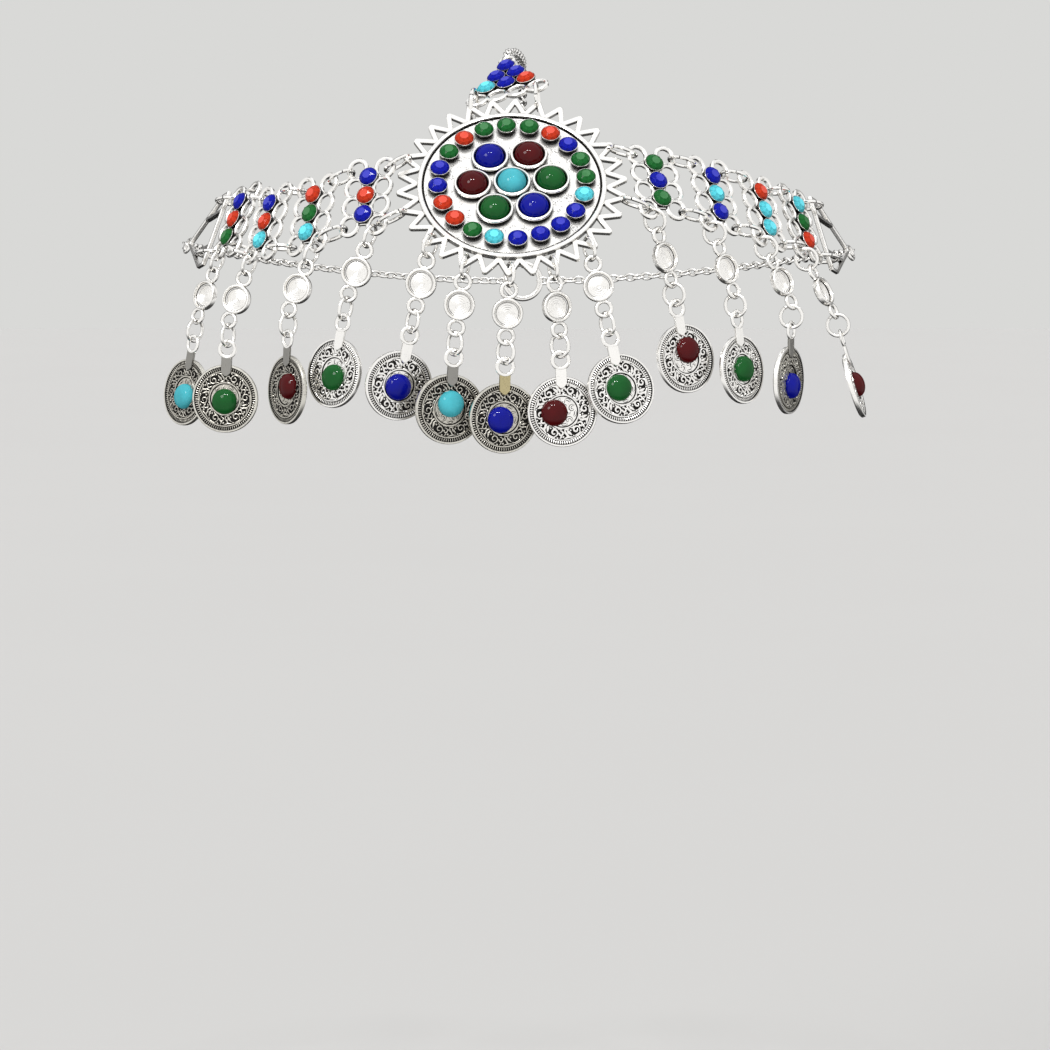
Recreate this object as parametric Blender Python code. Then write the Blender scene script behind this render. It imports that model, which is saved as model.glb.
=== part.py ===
"""Coin head chain: sunburst medallion, jewelled band links, crown link and thirteen coin drops.

The origin is the top of the head hollow, under the crown chain. X runs to the viewer's right,
Y to the back of the head and Z up. Sizes are in metres, angles in degrees.
"""

import math
from collections import namedtuple

import bpy
import bmesh
from mathutils import Matrix, Vector

# Head hollow that the jewel is worn on
HEAD_HALF_WIDTH_LEFT = 0.0859
HEAD_HALF_WIDTH_RIGHT = 0.0830
HEAD_FRONT_REACH = 0.0800
HEAD_BACK_REACH = 0.1000
CROWN_FRONT_REACH = 0.0950
CROWN_BACK_REACH = 0.1020
CROWN_HEIGHT = 0.0750
BACK_LEVEL = -0.0600

# Medallion
MEDALLION_AT = Vector((-0.0025, -0.0750, -0.0316))
MEDALLION_LEAN = 41.0
MEDALLION_ROLL = 4.5
PLATE_RADIUS = 0.0231
PLATE_THICKNESS = 0.0012
RIM_WIDTH = 0.00115
RIM_HEIGHT = 0.0006
TEETH = 30
TOOTH_VALLEY_RADIUS = 0.0233
TOOTH_TIP_RADIUS = 0.0279
TOOTH_WIDTH = 0.0010
TOOTH_THICKNESS = 0.0012
BEZEL_RADIUS = 0.0046
BEZEL_WALL = 0.00080
BEZEL_HEIGHT = 0.0017
BEZEL_PITCH = 0.0096
BEZEL_SIDES = 10
CABOCHON_RADIUS = 0.0035
CABOCHON_DOME = 0.0030
CABOCHON_SEAT = 0.0003
CHATON_COUNT = 20
CHATON_RING_RADIUS = 0.0181
CHATON_FOOT = 0.0003

# Faceted stone in its cup, used on the medallion and all cast links
STONE_CUP_RADIUS = 0.00248
STONE_CUP_HEIGHT = 0.0013
STONE_TABLE_RADIUS = 0.00125
STONE_CROWN_HEIGHT = 0.0009
STONE_SIDES = 8

# Cast links
STONE_PITCH = 0.00515
LINK_THICKNESS = 0.0012
LOOP_WIRE = 0.0009
LOOP_REACH = 0.0064
LOOP_ROOT = 0.0009

# Rings
JOIN_WIRE_RADIUS = 0.00045
JOIN_SIDES = 10
JOIN_WIRE_SIDES = 5
PIECE_GAP = 0.0003
SOLDER_OVERLAP = 0.00015
TOOTH_HOLE_RADIUS = 0.0244
HOOK_OUTWARD = 1.2
HOOK_REACH = 0.0029
RING_LEAN = 8.0
RING_PLAY = 0.0006
TOOTH_RING_PLAY = 0.0011
TOOTH_SOLDER_RADIUS = 0.0268
HANG_RING_RADIUS = 0.00275
HANG_WIRE_RADIUS = 0.00045
HANG_SIDES = 10

# Connector cup between the two jump rings of a drop
CUP_RADIUS = 0.00375
CUP_WALL = 0.0006
CUP_DEPTH = 0.0018
CUP_FLOOR = 0.0007
CUP_SIDES = 10
EYE_RADIUS = 0.0018
EYE_WIRE = 0.0010
EYE_THICKNESS = 0.0010
EYE_SIDES = 6
BAIL_SIDES = 8

# Coin drop
COIN_HALF_WIDTH = 0.0085
COIN_HALF_HEIGHT = 0.0085
COIN_THICKNESS = 0.0010
COIN_RIM_WIDTH = 0.0006
COIN_RIM_HEIGHT = 0.00025
COIN_SIDES = 12
COIN_STONE_RADIUS = 0.0032
COIN_STONE_DOME = 0.0024
BAIL_RADIUS = 0.0020
BAIL_WIRE = 0.0010
BAIL_ABOVE_EDGE = 0.0039
TAB_HALF_WIDTH = 0.00135
TAB_THICKNESS = 0.0008
TAB_BELOW_EDGE = 0.0029

# Plain chains and the closing ring at the back
CHAIN_RADIUS = 0.0014
CHAIN_STEP = 0.0080
CLASP_RADIUS = 0.0052
CLASP_WIRE_RADIUS = 0.0009
CLASP_SIDES = 12

Pose = namedtuple("Pose", "name x y z heading lean roll")
Drop = namedtuple("Drop", "name hook side heading cup_swing coin_swing lean turn ring low stone_x stone_y")

# One step of the tables below
TABLE_UNIT = 0.001

# Where each cast link of the band lies: table units, then degrees
LINK_POSES = (
    Pose("band_link_right_1", 33.0, -69.4, -30.7, 23.7, 33.4, -3.3),
    Pose("band_link_right_2", 47.5, -62.5, -33.9, 38.4, 29.2, -9.2),
    Pose("band_link_right_3", 60.1, -52.8, -37.9, 49.6, 27.0, -12.6),
    Pose("band_link_right_4", 70.6, -40.6, -41.2, 58.1, 25.7, -14.7),
    Pose("end_link_right", 79.6, -27.3, -45.4, 67.5, 23.8, -17.6),
    Pose("band_link_left_1", -37.8, -74.8, -34.2, -23.9, 28.0, 4.9),
    Pose("band_link_left_2", -51.7, -67.9, -38.6, -40.1, 25.0, 9.0),
    Pose("band_link_left_3", -63.5, -56.7, -40.8, -50.0, 25.9, 10.1),
    Pose("band_link_left_4", -72.4, -43.5, -40.4, -58.3, 28.1, 11.6),
    Pose("end_link_left", -81.2, -30.0, -43.9, -68.3, 25.7, 15.8),
)
CROWN_POSE = Pose("crown_link", -3.8, -48.7, -6.7, 0.0, 61.0, 18.0)
CROWN_TWIST = -8.5

# The drops: what each hangs on and on which side, then in degrees how its cup faces, how its
# line swings and leans, and how its coin and two rings face, then where its stone is glued
DROPS = (
    Drop("front_1", 216, 0, -8, -13.3, -11.6, 1.0, 22, 58, -60, -0.2, -0.4),
    Drop("front_2", 240, 0, -4, -8.5, -4.4, 1.0, 18, 74, -52, 0.2, 1.3),
    Drop("front_3", 264, 0, 4, -3.6, -1.6, 1.0, 16, -70, -45, -0.8, -0.4),
    Drop("front_4", 288, 0, 26, 4.5, 1.4, 2.4, 8, -70, -42, -2.0, -0.2),
    Drop("front_5", 312, 0, 4, 13.1, 12.2, 7.5, 22, -66, -58, -0.6, 0.3),
    Drop("left_1", "band_link_left_1", -1, -12, -20.5, -10.8, 2.0, -40, 68, 62, 0.3, -1.1),
    Drop("left_2", "band_link_left_2", -1, -26, -21.5, -2.0, 2.0, -55, 62, 50, 1.6, 0.9),
    Drop("left_3", "band_link_left_3", 1, -24, -19.0, -2.3, 3.0, -12, 64, 62, 0.0, -0.7),
    Drop("left_4", "band_link_left_4", 1, -44, -19.5, -9.9, 1.0, -47, 66, 55, 0.3, -1.1),
    Drop("right_1", "band_link_right_1", -1, 44, 14.2, 10.2, 2.0, 35, -30, -28, 0.8, 1.9),
    Drop("right_2", "band_link_right_2", -1, 46, 17.2, 6.1, 2.0, 50, -18, -30, 0.2, 0.1),
    Drop("right_3", "band_link_right_3", -1, 52, 24.0, -1.5, 2.0, 62, -15, -15, 0.5, -1.4),
    Drop("right_4", "band_link_right_4", -1, 66, 28.0, 18.0, 0.0, 80, -15, -15, 0.0, 0.1),
)

SILVER = ((0.62, 0.61, 0.58, 1.0), 0.30, 1.0)
GREY_SILVER = ((0.36, 0.36, 0.34, 1.0), 0.38, 1.0)
BLUE = ((0.013, 0.028, 0.578, 1.0), 0.15, 0.0)
GREEN = ((0.014, 0.195, 0.038, 1.0), 0.15, 0.0)
DARK_RED = ((0.112, 0.006, 0.016, 1.0), 0.15, 0.0)
TURQUOISE = ((0.060, 0.578, 0.716, 1.0), 0.20, 0.0)


def material(name, look):
    """One Principled material for one piece."""
    color, roughness, metallic = look
    made = bpy.data.materials.new(name)
    made.use_nodes = True
    shader = made.node_tree.nodes["Principled BSDF"]
    shader.inputs["Base Color"].default_value = color
    shader.inputs["Roughness"].default_value = roughness
    shader.inputs["Metallic"].default_value = metallic
    made.diffuse_color = color
    return made


def object_of(bm, name):
    """A plain mesh object made from a bmesh, normals outward."""
    bmesh.ops.remove_doubles(bm, verts=bm.verts, dist=1e-7)
    bmesh.ops.recalc_face_normals(bm, faces=bm.faces)
    mesh = bpy.data.meshes.new(name)
    bm.to_mesh(mesh)
    bm.free()
    made = bpy.data.objects.new(name, mesh)
    bpy.context.collection.objects.link(made)
    return made


def frame_at(at, heading, lean, roll=0.0):
    """Local X along the head, Y up the head and Z outward, at a heading round the head."""
    turn = math.radians(heading)
    tip = math.radians(lean)
    out = Vector((math.sin(turn) * math.cos(tip), -math.cos(turn) * math.cos(tip), math.sin(tip)))
    along = Vector((math.cos(turn), math.sin(turn), 0.0))
    up = out.cross(along)
    axes = Matrix((along, up, out)).transposed().to_4x4()
    return Matrix.Translation(at) @ axes @ Matrix.Rotation(math.radians(roll), 4, "Z")


def frame_from(at, up, facing):
    """Local Y along up, and Z as near to facing as that allows."""
    y_axis = up.normalized()
    x_axis = y_axis.cross(facing).normalized()
    z_axis = x_axis.cross(y_axis)
    return Matrix.Translation(at) @ Matrix((x_axis, y_axis, z_axis)).transposed().to_4x4()


def turned(profile, sides, phase=0.0, stretch=(1.0, 1.0)):
    """A closed solid turned from radius and height pairs. A radius of zero closes an end."""
    bm = bmesh.new()
    rows = []
    for radius, height in profile:
        if radius == 0.0:
            rows.append([bm.verts.new((0.0, 0.0, height))])
            continue
        row = []
        for step in range(sides):
            angle = math.radians(phase) + 2.0 * math.pi * step / sides
            x = radius * math.cos(angle) * stretch[0]
            y = radius * math.sin(angle) * stretch[1]
            row.append(bm.verts.new((x, y, height)))
        rows.append(row)
    for low, high in zip(rows, rows[1:]):
        for step in range(sides):
            after = (step + 1) % sides
            if len(low) == 1:
                bm.faces.new((low[0], high[after], high[step]))
            elif len(high) == 1:
                bm.faces.new((low[step], low[after], high[0]))
            else:
                bm.faces.new((low[step], low[after], high[after], high[step]))
    if len(rows[0]) > 1:
        bm.faces.new(rows[0][::-1])
    if len(rows[-1]) > 1:
        bm.faces.new(rows[-1])
    return bm


def torus(radius, wire, sides, wire_sides):
    """A round ring about local Z."""
    bm = bmesh.new()
    rows = []
    for step in range(sides):
        angle = 2.0 * math.pi * step / sides
        row = []
        for side in range(wire_sides):
            around = 2.0 * math.pi * side / wire_sides
            reach = radius + wire * math.cos(around)
            place = (reach * math.cos(angle), reach * math.sin(angle), wire * math.sin(around))
            row.append(bm.verts.new(place))
        rows.append(row)
    for step in range(sides):
        here = rows[step]
        there = rows[(step + 1) % sides]
        for side in range(wire_sides):
            after = (side + 1) % wire_sides
            bm.faces.new((here[side], there[side], there[after], here[after]))
    return bm


def washer(radius, wire, thickness, sides, phase=0.0):
    """A flat ring about local Z with a square section, for cast eyes and bails."""
    half = thickness / 2.0
    bm = bmesh.new()
    rows = []
    for reach, height in ((1, half), (1, -half), (-1, -half), (-1, half)):
        row = []
        for step in range(sides):
            angle = math.radians(phase) + 2.0 * math.pi * step / sides
            far = radius + reach * wire / 2.0
            row.append(bm.verts.new((far * math.cos(angle), far * math.sin(angle), height)))
        rows.append(row)
    for index in range(4):
        here = rows[index]
        there = rows[(index + 1) % 4]
        for step in range(sides):
            after = (step + 1) % sides
            bm.faces.new((here[step], here[after], there[after], there[step]))
    return bm


def extruded(outline, thickness, base=None):
    """A flat plate of an outline of X and Y pairs, centred on local Z or from a base height."""
    low = -thickness / 2.0 if base is None else base
    bm = bmesh.new()
    under = [bm.verts.new((x, y, low)) for x, y in outline]
    over = [bm.verts.new((x, y, low + thickness)) for x, y in outline]
    bm.faces.new(under[::-1])
    bm.faces.new(over)
    for step in range(len(outline)):
        after = (step + 1) % len(outline)
        bm.faces.new((under[step], under[after], over[after], over[step]))
    return bm


def moved(bm, matrix):
    """The same bmesh carried by a matrix."""
    bmesh.ops.transform(bm, matrix=matrix, verts=bm.verts)
    return bm


def merged(solids):
    """Several closed shells in one bmesh."""
    whole = bmesh.new()
    for solid in solids:
        bmesh.ops.recalc_face_normals(solid, faces=solid.faces)
        scratch = bpy.data.meshes.new("scratch")
        solid.to_mesh(scratch)
        solid.free()
        whole.from_mesh(scratch)
        bpy.data.meshes.remove(scratch)
    return whole


def fused(name, solids, look):
    """One solid joined from overlapping ones."""
    body = object_of(merged(solids[:1]), name + "_first")
    if len(solids) > 1:
        rest = object_of(merged(solids[1:]), name + "_rest")
        joint = body.modifiers.new("Join", "BOOLEAN")
        joint.operation = "UNION"
        joint.solver = "EXACT"
        joint.use_self = True
        joint.object = rest
        graph = bpy.context.evaluated_depsgraph_get()
        joined = bpy.data.meshes.new_from_object(body.evaluated_get(graph))
        bpy.data.objects.remove(body)
        bpy.data.objects.remove(rest)
        joined.name = name
    else:
        joined = body.data
        bpy.data.objects.remove(body)
        joined.name = name
    bm = bmesh.new()
    bm.from_mesh(joined)
    bmesh.ops.remove_doubles(bm, verts=bm.verts, dist=2e-6)
    bmesh.ops.dissolve_degenerate(bm, edges=bm.edges, dist=2e-6)
    bmesh.ops.dissolve_limit(bm, angle_limit=math.radians(0.2), verts=bm.verts, edges=bm.edges)
    bm.to_mesh(joined)
    bm.free()
    joined.materials.clear()
    joined.materials.append(material(name, look))
    made = bpy.data.objects.new(name, joined)
    bpy.context.collection.objects.link(made)
    return made


def faceted_stone(place):
    """A small faceted stone in its cup: octagonal girdle, eight crown facets and a table."""
    profile = (
        (STONE_CUP_RADIUS, -STONE_CUP_HEIGHT * 0.25),
        (STONE_CUP_RADIUS, STONE_CUP_HEIGHT),
        (STONE_TABLE_RADIUS, STONE_CUP_HEIGHT + STONE_CROWN_HEIGHT),
    )
    return moved(turned(profile, STONE_SIDES, phase=22.5), place)


def petal_row(count):
    """The outer edge of a row of open loops that face local minus Y, from left to right."""
    centre = -(LOOP_REACH + LOOP_ROOT) / 2.0
    half_long = (LOOP_REACH - LOOP_ROOT) / 2.0 / math.cos(math.radians(19.5))
    half_wide = STONE_PITCH / 2.0 + LOOP_WIRE / 2.0
    valley = math.degrees(math.asin(STONE_PITCH / 2.0 / half_wide))
    points = []
    for index in range(count):
        middle = (index - (count - 1) / 2.0) * STONE_PITCH
        angles = [-valley, -19.5, 19.5, valley]
        if index == 0:
            angles = [-128.0, -88.0] + angles[1:] if count > 1 else angles
            angles.insert(2, -valley + 4.0)
        if index == count - 1:
            angles = angles[:-1] + [valley - 4.0, 88.0, 128.0]
        if index < count - 1:
            angles = angles[:-1]
        for angle in angles:
            turn = math.radians(angle)
            x = middle + half_wide * math.sin(turn)
            points.append((x, centre - half_long * math.cos(turn)))
    return points


def loop_holes(count):
    """The open middles of the same row of loops, as six sided outlines."""
    centre = -(LOOP_REACH + LOOP_ROOT) / 2.0
    half_long = (LOOP_REACH - LOOP_ROOT) / 2.0 - LOOP_WIRE
    half_wide = STONE_PITCH / 2.0 - LOOP_WIRE / 2.0
    holes = []
    for index in range(count):
        middle = (index - (count - 1) / 2.0) * STONE_PITCH
        outline = []
        for step in range(6):
            turn = math.radians(60.0 * step)
            x = middle + half_wide * math.cos(turn)
            y = centre + half_long * math.sin(turn) / math.cos(math.radians(30.0))
            outline.append((x, y))
        holes.append(outline)
    return holes


def spun(points, quarter_turns):
    """Flat points turned about the origin by quarter turns."""
    for _ in range(quarter_turns % 4):
        points = [(-y, x) for x, y in points]
    return points


def pierced_plate(outline, holes, thickness):
    """A flat plate centred on local Z, cut through by its holes."""
    bm = bmesh.new()
    edges = []
    for ring in [outline] + holes:
        corners = [bm.verts.new((x, y, -thickness / 2.0)) for x, y in ring]
        for step, corner in enumerate(corners):
            edges.append(bm.edges.new((corner, corners[(step + 1) % len(corners)])))
    bmesh.ops.triangle_fill(bm, use_beauty=True, use_dissolve=False, edges=edges)
    under = bm.faces[:]
    lifted = bmesh.ops.extrude_face_region(bm, geom=under, use_keep_orig=True)
    over = [part for part in lifted["geom"] if isinstance(part, bmesh.types.BMVert)]
    bmesh.ops.translate(bm, vec=(0.0, 0.0, thickness), verts=over)
    bmesh.ops.recalc_face_normals(bm, faces=bm.faces)
    return bm


def band_link_solids():
    """A cast band link: three stones in a column between eight open loops."""
    notch = STONE_PITCH * 1.5 + LOOP_WIRE
    outline = spun(petal_row(4), 1) + [(0.0, notch)] + spun(petal_row(4), 3) + [(0.0, -notch)]
    holes = [spun(hole, 1) for hole in loop_holes(4)] + [spun(hole, 3) for hole in loop_holes(4)]
    solids = [pierced_plate(outline, holes, LINK_THICKNESS)]
    for step in (-1, 0, 1):
        solids.append(faceted_stone(Matrix.Translation((0.0, step * STONE_PITCH, 0.0))))
    return solids


def triangle_link_solids():
    """A cast triangular link: six stones, four loops along its base and an eye at its apex."""
    row = STONE_PITCH * math.sqrt(3.0) / 2.0
    shoulder = STONE_PITCH + STONE_CUP_RADIUS
    side = [(shoulder, 0.3 * row), (shoulder - STONE_PITCH / 2.0, 1.25 * row), (0.5 * STONE_PITCH, 2.3 * row)]
    outline = petal_row(4) + side + [(-x, y) for x, y in reversed(side)]
    solids = [pierced_plate(outline, loop_holes(4), LINK_THICKNESS)]
    for index, count in enumerate((3, 2, 1)):
        for step in range(count):
            x = (step - (count - 1) / 2.0) * STONE_PITCH
            solids.append(faceted_stone(Matrix.Translation((x, index * row, 0.0))))
    eye = washer(EYE_RADIUS, EYE_WIRE, EYE_THICKNESS, EYE_SIDES)
    solids.append(moved(eye, Matrix.Translation((0.0, apex_eye_reach(), 0.0))))
    return solids


def end_link_solids():
    """A plain open triangle of the same size, with a corner loop for each ring and an eye."""
    corner = 1.5 * STONE_PITCH
    foot = -LOOP_REACH
    shoulder = corner + STONE_PITCH / 2.0 + LOOP_WIRE / 2.0
    top = apex_eye_reach() - EYE_RADIUS
    outline = [(-shoulder, foot), (shoulder, foot), (shoulder, -0.4 * LOOP_REACH), (LOOP_WIRE, top)]
    outline = outline + [(-LOOP_WIRE, top), (-shoulder, -0.4 * LOOP_REACH)]
    bar = LOOP_WIRE
    low = foot + bar
    across = corner - STONE_PITCH / 2.0 + LOOP_WIRE / 2.0
    holes = []
    for side in (-1.0, 1.0):
        inner = side * across
        outer = side * (shoulder - bar)
        hole = [(inner, low), (outer, low), (outer, -0.45 * LOOP_REACH), (inner, -0.2 * LOOP_REACH)]
        holes.append(hole)
    middle = across - bar
    holes.append([(-middle, low), (middle, low), (middle, 0.1 * LOOP_REACH), (0.0, top - 3.0 * bar), (-middle, 0.1 * LOOP_REACH)])
    solids = [pierced_plate(outline, holes, LINK_THICKNESS)]
    eye = washer(EYE_RADIUS, EYE_WIRE, EYE_THICKNESS, EYE_SIDES)
    solids.append(moved(eye, Matrix.Translation((0.0, apex_eye_reach(), 0.0))))
    return solids


def apex_eye_reach():
    """How far the triangular link's eye lies from its base row of stones."""
    return STONE_PITCH * math.sqrt(3.0) + STONE_CUP_RADIUS + EYE_RADIUS


def hanging_ring(one, other, facing, wire=JOIN_WIRE_RADIUS, sides=JOIN_SIDES, turn=0.0):
    """A ring through two places, standing in the plane of their line and the facing."""
    line = other - one
    axis = line.cross(facing).normalized()
    axis = Matrix.Rotation(math.radians(turn), 3, line.normalized()) @ axis
    across = axis.cross(line.normalized())
    axes = Matrix((line.normalized(), across, axis)).transposed().to_4x4()
    place = Matrix.Translation((one + other) / 2.0) @ axes
    return moved(torus(line.length / 2.0, wire, sides, JOIN_WIRE_SIDES), place)


def medallion_frame():
    return frame_at(MEDALLION_AT, 0.0, MEDALLION_LEAN, MEDALLION_ROLL)


def on_medallion(angle, radius, height=0.0):
    """A place on the medallion at its own angle, anticlockwise from the right."""
    turn = math.radians(angle)
    return medallion_frame() @ Vector((radius * math.cos(turn), radius * math.sin(turn), height))


def pose_of(name):
    return next(pose for pose in LINK_POSES + (CROWN_POSE,) if pose.name == name)


def link_frame(pose):
    """The frame of a cast link from its row of the table."""
    at = Vector((pose.x, pose.y, pose.z)) * TABLE_UNIT
    if pose is CROWN_POSE:
        tilt = Matrix.Rotation(math.radians(-pose.roll), 4, "Y")
        upright = frame_at(Vector(), pose.heading, pose.lean)
        twist = Matrix.Rotation(math.radians(CROWN_TWIST), 4, "Z")
        return Matrix.Translation(at) @ tilt @ upright @ twist
    return frame_at(at, pose.heading, pose.lean, pose.roll)


def side_of(pose):
    return -1.0 if pose.heading < 0.0 else 1.0


def loop_place(pose, outer, upper, soldered, play=RING_PLAY):
    """Where a ring's wire passes one of a band link's four corner loops."""
    inside = LOOP_REACH - LOOP_WIRE - JOIN_WIRE_RADIUS
    reach = inside + SOLDER_OVERLAP if soldered else inside - play
    x = side_of(pose) * reach * (1.0 if outer else -1.0)
    y = 1.5 * STONE_PITCH * (1.0 if upper else -1.0)
    return link_frame(pose) @ Vector((x, y, 0.0))


def facing_of(matrix):
    return (matrix.to_3x3() @ Vector((0.0, 0.0, 1.0))).normalized()


def sunburst():
    """The zigzag border as one endless flat strip."""
    step = math.pi / TEETH
    half = TOOTH_WIDTH / 2.0
    middle = []
    for index in range(2 * TEETH):
        radius = TOOTH_VALLEY_RADIUS if index % 2 else TOOTH_TIP_RADIUS
        middle.append(Vector((radius * math.cos(index * step), radius * math.sin(index * step))))
    inner = []
    outer = []
    for index, here in enumerate(middle):
        before = (here - middle[index - 1]).normalized()
        after = (middle[(index + 1) % len(middle)] - here).normalized()
        mitre = (before + after).normalized()
        normal = Vector((mitre.y, -mitre.x))
        spread = half / max(0.25, normal.dot(Vector((before.y, -before.x))))
        outer.append(here + normal * spread)
        inner.append(here - normal * spread)
    bm = bmesh.new()
    low = -TOOTH_THICKNESS / 2.0 - 0.00005
    high = TOOTH_THICKNESS / 2.0 - 0.0001
    rows = []
    for line, height in ((outer, low), (outer, high), (inner, high), (inner, low)):
        rows.append([bm.verts.new((spot.x, spot.y, height)) for spot in line])
    for index in range(4):
        here = rows[index]
        there = rows[(index + 1) % 4]
        for step_index in range(len(middle)):
            after = (step_index + 1) % len(middle)
            bm.faces.new((here[step_index], here[after], there[after], there[step_index]))
    return bm


def ring_facing(one, other):
    """The way a ring between two links stands out, lower than the links' own lean."""
    flat = facing_of(one) + facing_of(other)
    flat.z = 0.0
    return flat.normalized() + Vector((0.0, 0.0, math.tan(math.radians(RING_LEAN))))


def bezel_places():
    """The centre of each bezel: one in the middle and six round it."""
    places = [Vector((0.0, 0.0))]
    for index in range(6):
        turn = math.radians(60.0 * index)
        places.append(Vector((math.cos(turn), math.sin(turn))) * BEZEL_PITCH)
    return places


def build_medallion():
    """The setting with its sunburst, stones and the rings that hang on its teeth."""
    top = PLATE_THICKNESS / 2.0
    profile = (
        (PLATE_RADIUS, -top),
        (PLATE_RADIUS, top + RIM_HEIGHT),
        (PLATE_RADIUS - RIM_WIDTH, top + RIM_HEIGHT),
        (PLATE_RADIUS - RIM_WIDTH, top),
    )
    solids = [turned(profile, TEETH), sunburst()]
    wall = (
        (BEZEL_RADIUS, top - 0.0002),
        (BEZEL_RADIUS, top + BEZEL_HEIGHT),
        (BEZEL_RADIUS - BEZEL_WALL, top + BEZEL_HEIGHT),
        (BEZEL_RADIUS - BEZEL_WALL, top + CABOCHON_SEAT * 0.5),
    )
    for place in bezel_places():
        solids.append(moved(turned(wall, BEZEL_SIDES), Matrix.Translation((place.x, place.y, 0.0))))
    for index in range(CHATON_COUNT):
        spin = Matrix.Rotation(2.0 * math.pi * index / CHATON_COUNT, 4, "Z")
        lift = Matrix.Translation((CHATON_RING_RADIUS, 0.0, top + CHATON_FOOT))
        solids.append(faceted_stone(spin @ lift))
    for solid in solids:
        moved(solid, medallion_frame())
    for tooth, name, upper in (
        (24, "band_link_right_1", True),
        (-12, "band_link_right_1", False),
        (156, "band_link_left_1", True),
        (192, "band_link_left_1", False),
    ):
        far = loop_place(pose_of(name), False, upper, False, TOOTH_RING_PLAY)
        near = on_medallion(tooth, TOOTH_SOLDER_RADIUS)
        facing = ring_facing(medallion_frame(), link_frame(pose_of(name)))
        solids.append(hanging_ring(near, far, facing))
    for tooth, side in ((108, -1.0), (72, 1.0)):
        near = on_medallion(tooth, TOOTH_SOLDER_RADIUS)
        reach = -(LOOP_REACH - LOOP_WIRE - JOIN_WIRE_RADIUS - TOOTH_RING_PLAY)
        far = link_frame(CROWN_POSE) @ Vector((side * 1.5 * STONE_PITCH, reach, 0.0))
        facing = facing_of(medallion_frame()) + facing_of(link_frame(CROWN_POSE))
        solids.append(hanging_ring(near, far, facing))
    return fused("medallion_setting", solids, SILVER)


def build_cabochons():
    """Seven domed stones, each just clear of its bezel."""
    looks = (TURQUOISE, GREEN, DARK_RED, BLUE, DARK_RED, GREEN, BLUE)
    seat = PLATE_THICKNESS / 2.0 + CABOCHON_SEAT * 1.5
    profile = [(CABOCHON_RADIUS, seat), (CABOCHON_RADIUS, seat + 0.0006)]
    for angle in (50.0,):
        turn = math.radians(angle)
        height = seat + 0.0006 + CABOCHON_DOME * math.sin(turn)
        profile.append((CABOCHON_RADIUS * math.cos(turn), height))
    profile.append((0.0, seat + 0.0006 + CABOCHON_DOME))
    for index, place in enumerate(bezel_places()):
        name = "cabochon_center" if index == 0 else f"cabochon_{index}"
        at = medallion_frame() @ Matrix.Translation((place.x, place.y, 0.0))
        fused(name, [moved(turned(profile, 10), at)], looks[index])


def build_links():
    """The cast links of the band, each with the two rings to its outer neighbour."""
    for pose, after in zip(LINK_POSES, LINK_POSES[1:] + (None,)):
        frame = link_frame(pose)
        if pose.name.startswith("end_link"):
            turn = Matrix.Rotation(math.radians(-90.0 * side_of(pose)), 4, "Z")
            solids = [moved(solid, frame @ turn) for solid in end_link_solids()]
            fused(pose.name, solids, SILVER)
            continue
        solids = [moved(solid, frame) for solid in band_link_solids()]
        facing = ring_facing(frame, link_frame(after))
        for upper in (True, False):
            near = loop_place(pose, True, upper, True)
            far = loop_place(after, False, upper, False)
            solids.append(hanging_ring(near, far, facing))
        fused(pose.name, solids, SILVER)
    solids = [moved(solid, link_frame(CROWN_POSE)) for solid in triangle_link_solids()]
    fused("crown_link", solids, SILVER)


def outward(heading):
    turn = math.radians(heading)
    return Vector((math.sin(turn), -math.cos(turn), 0.0))


def drop_line(drop, degrees):
    """The straight way that a part of a drop hangs."""
    swing = math.radians(degrees)
    line = Vector((math.sin(swing), 0.0, -math.cos(swing)))
    return (line + outward(drop.heading) * math.tan(math.radians(drop.lean))).normalized()


def hook_place(drop):
    """Where the wire of a drop's upper ring passes through what it hangs on."""
    if isinstance(drop.hook, int):
        return on_medallion(drop.hook, TOOTH_HOLE_RADIUS)
    pose = pose_of(drop.hook)
    hole_bottom = -(1.5 * STONE_PITCH + STONE_PITCH / 2.0 - LOOP_WIRE / 2.0)
    x = drop.side * side_of(pose) * HOOK_REACH
    return link_frame(pose) @ Vector((x, hole_bottom + HANG_WIRE_RADIUS + 4.5 * PIECE_GAP, 0.0))


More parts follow.
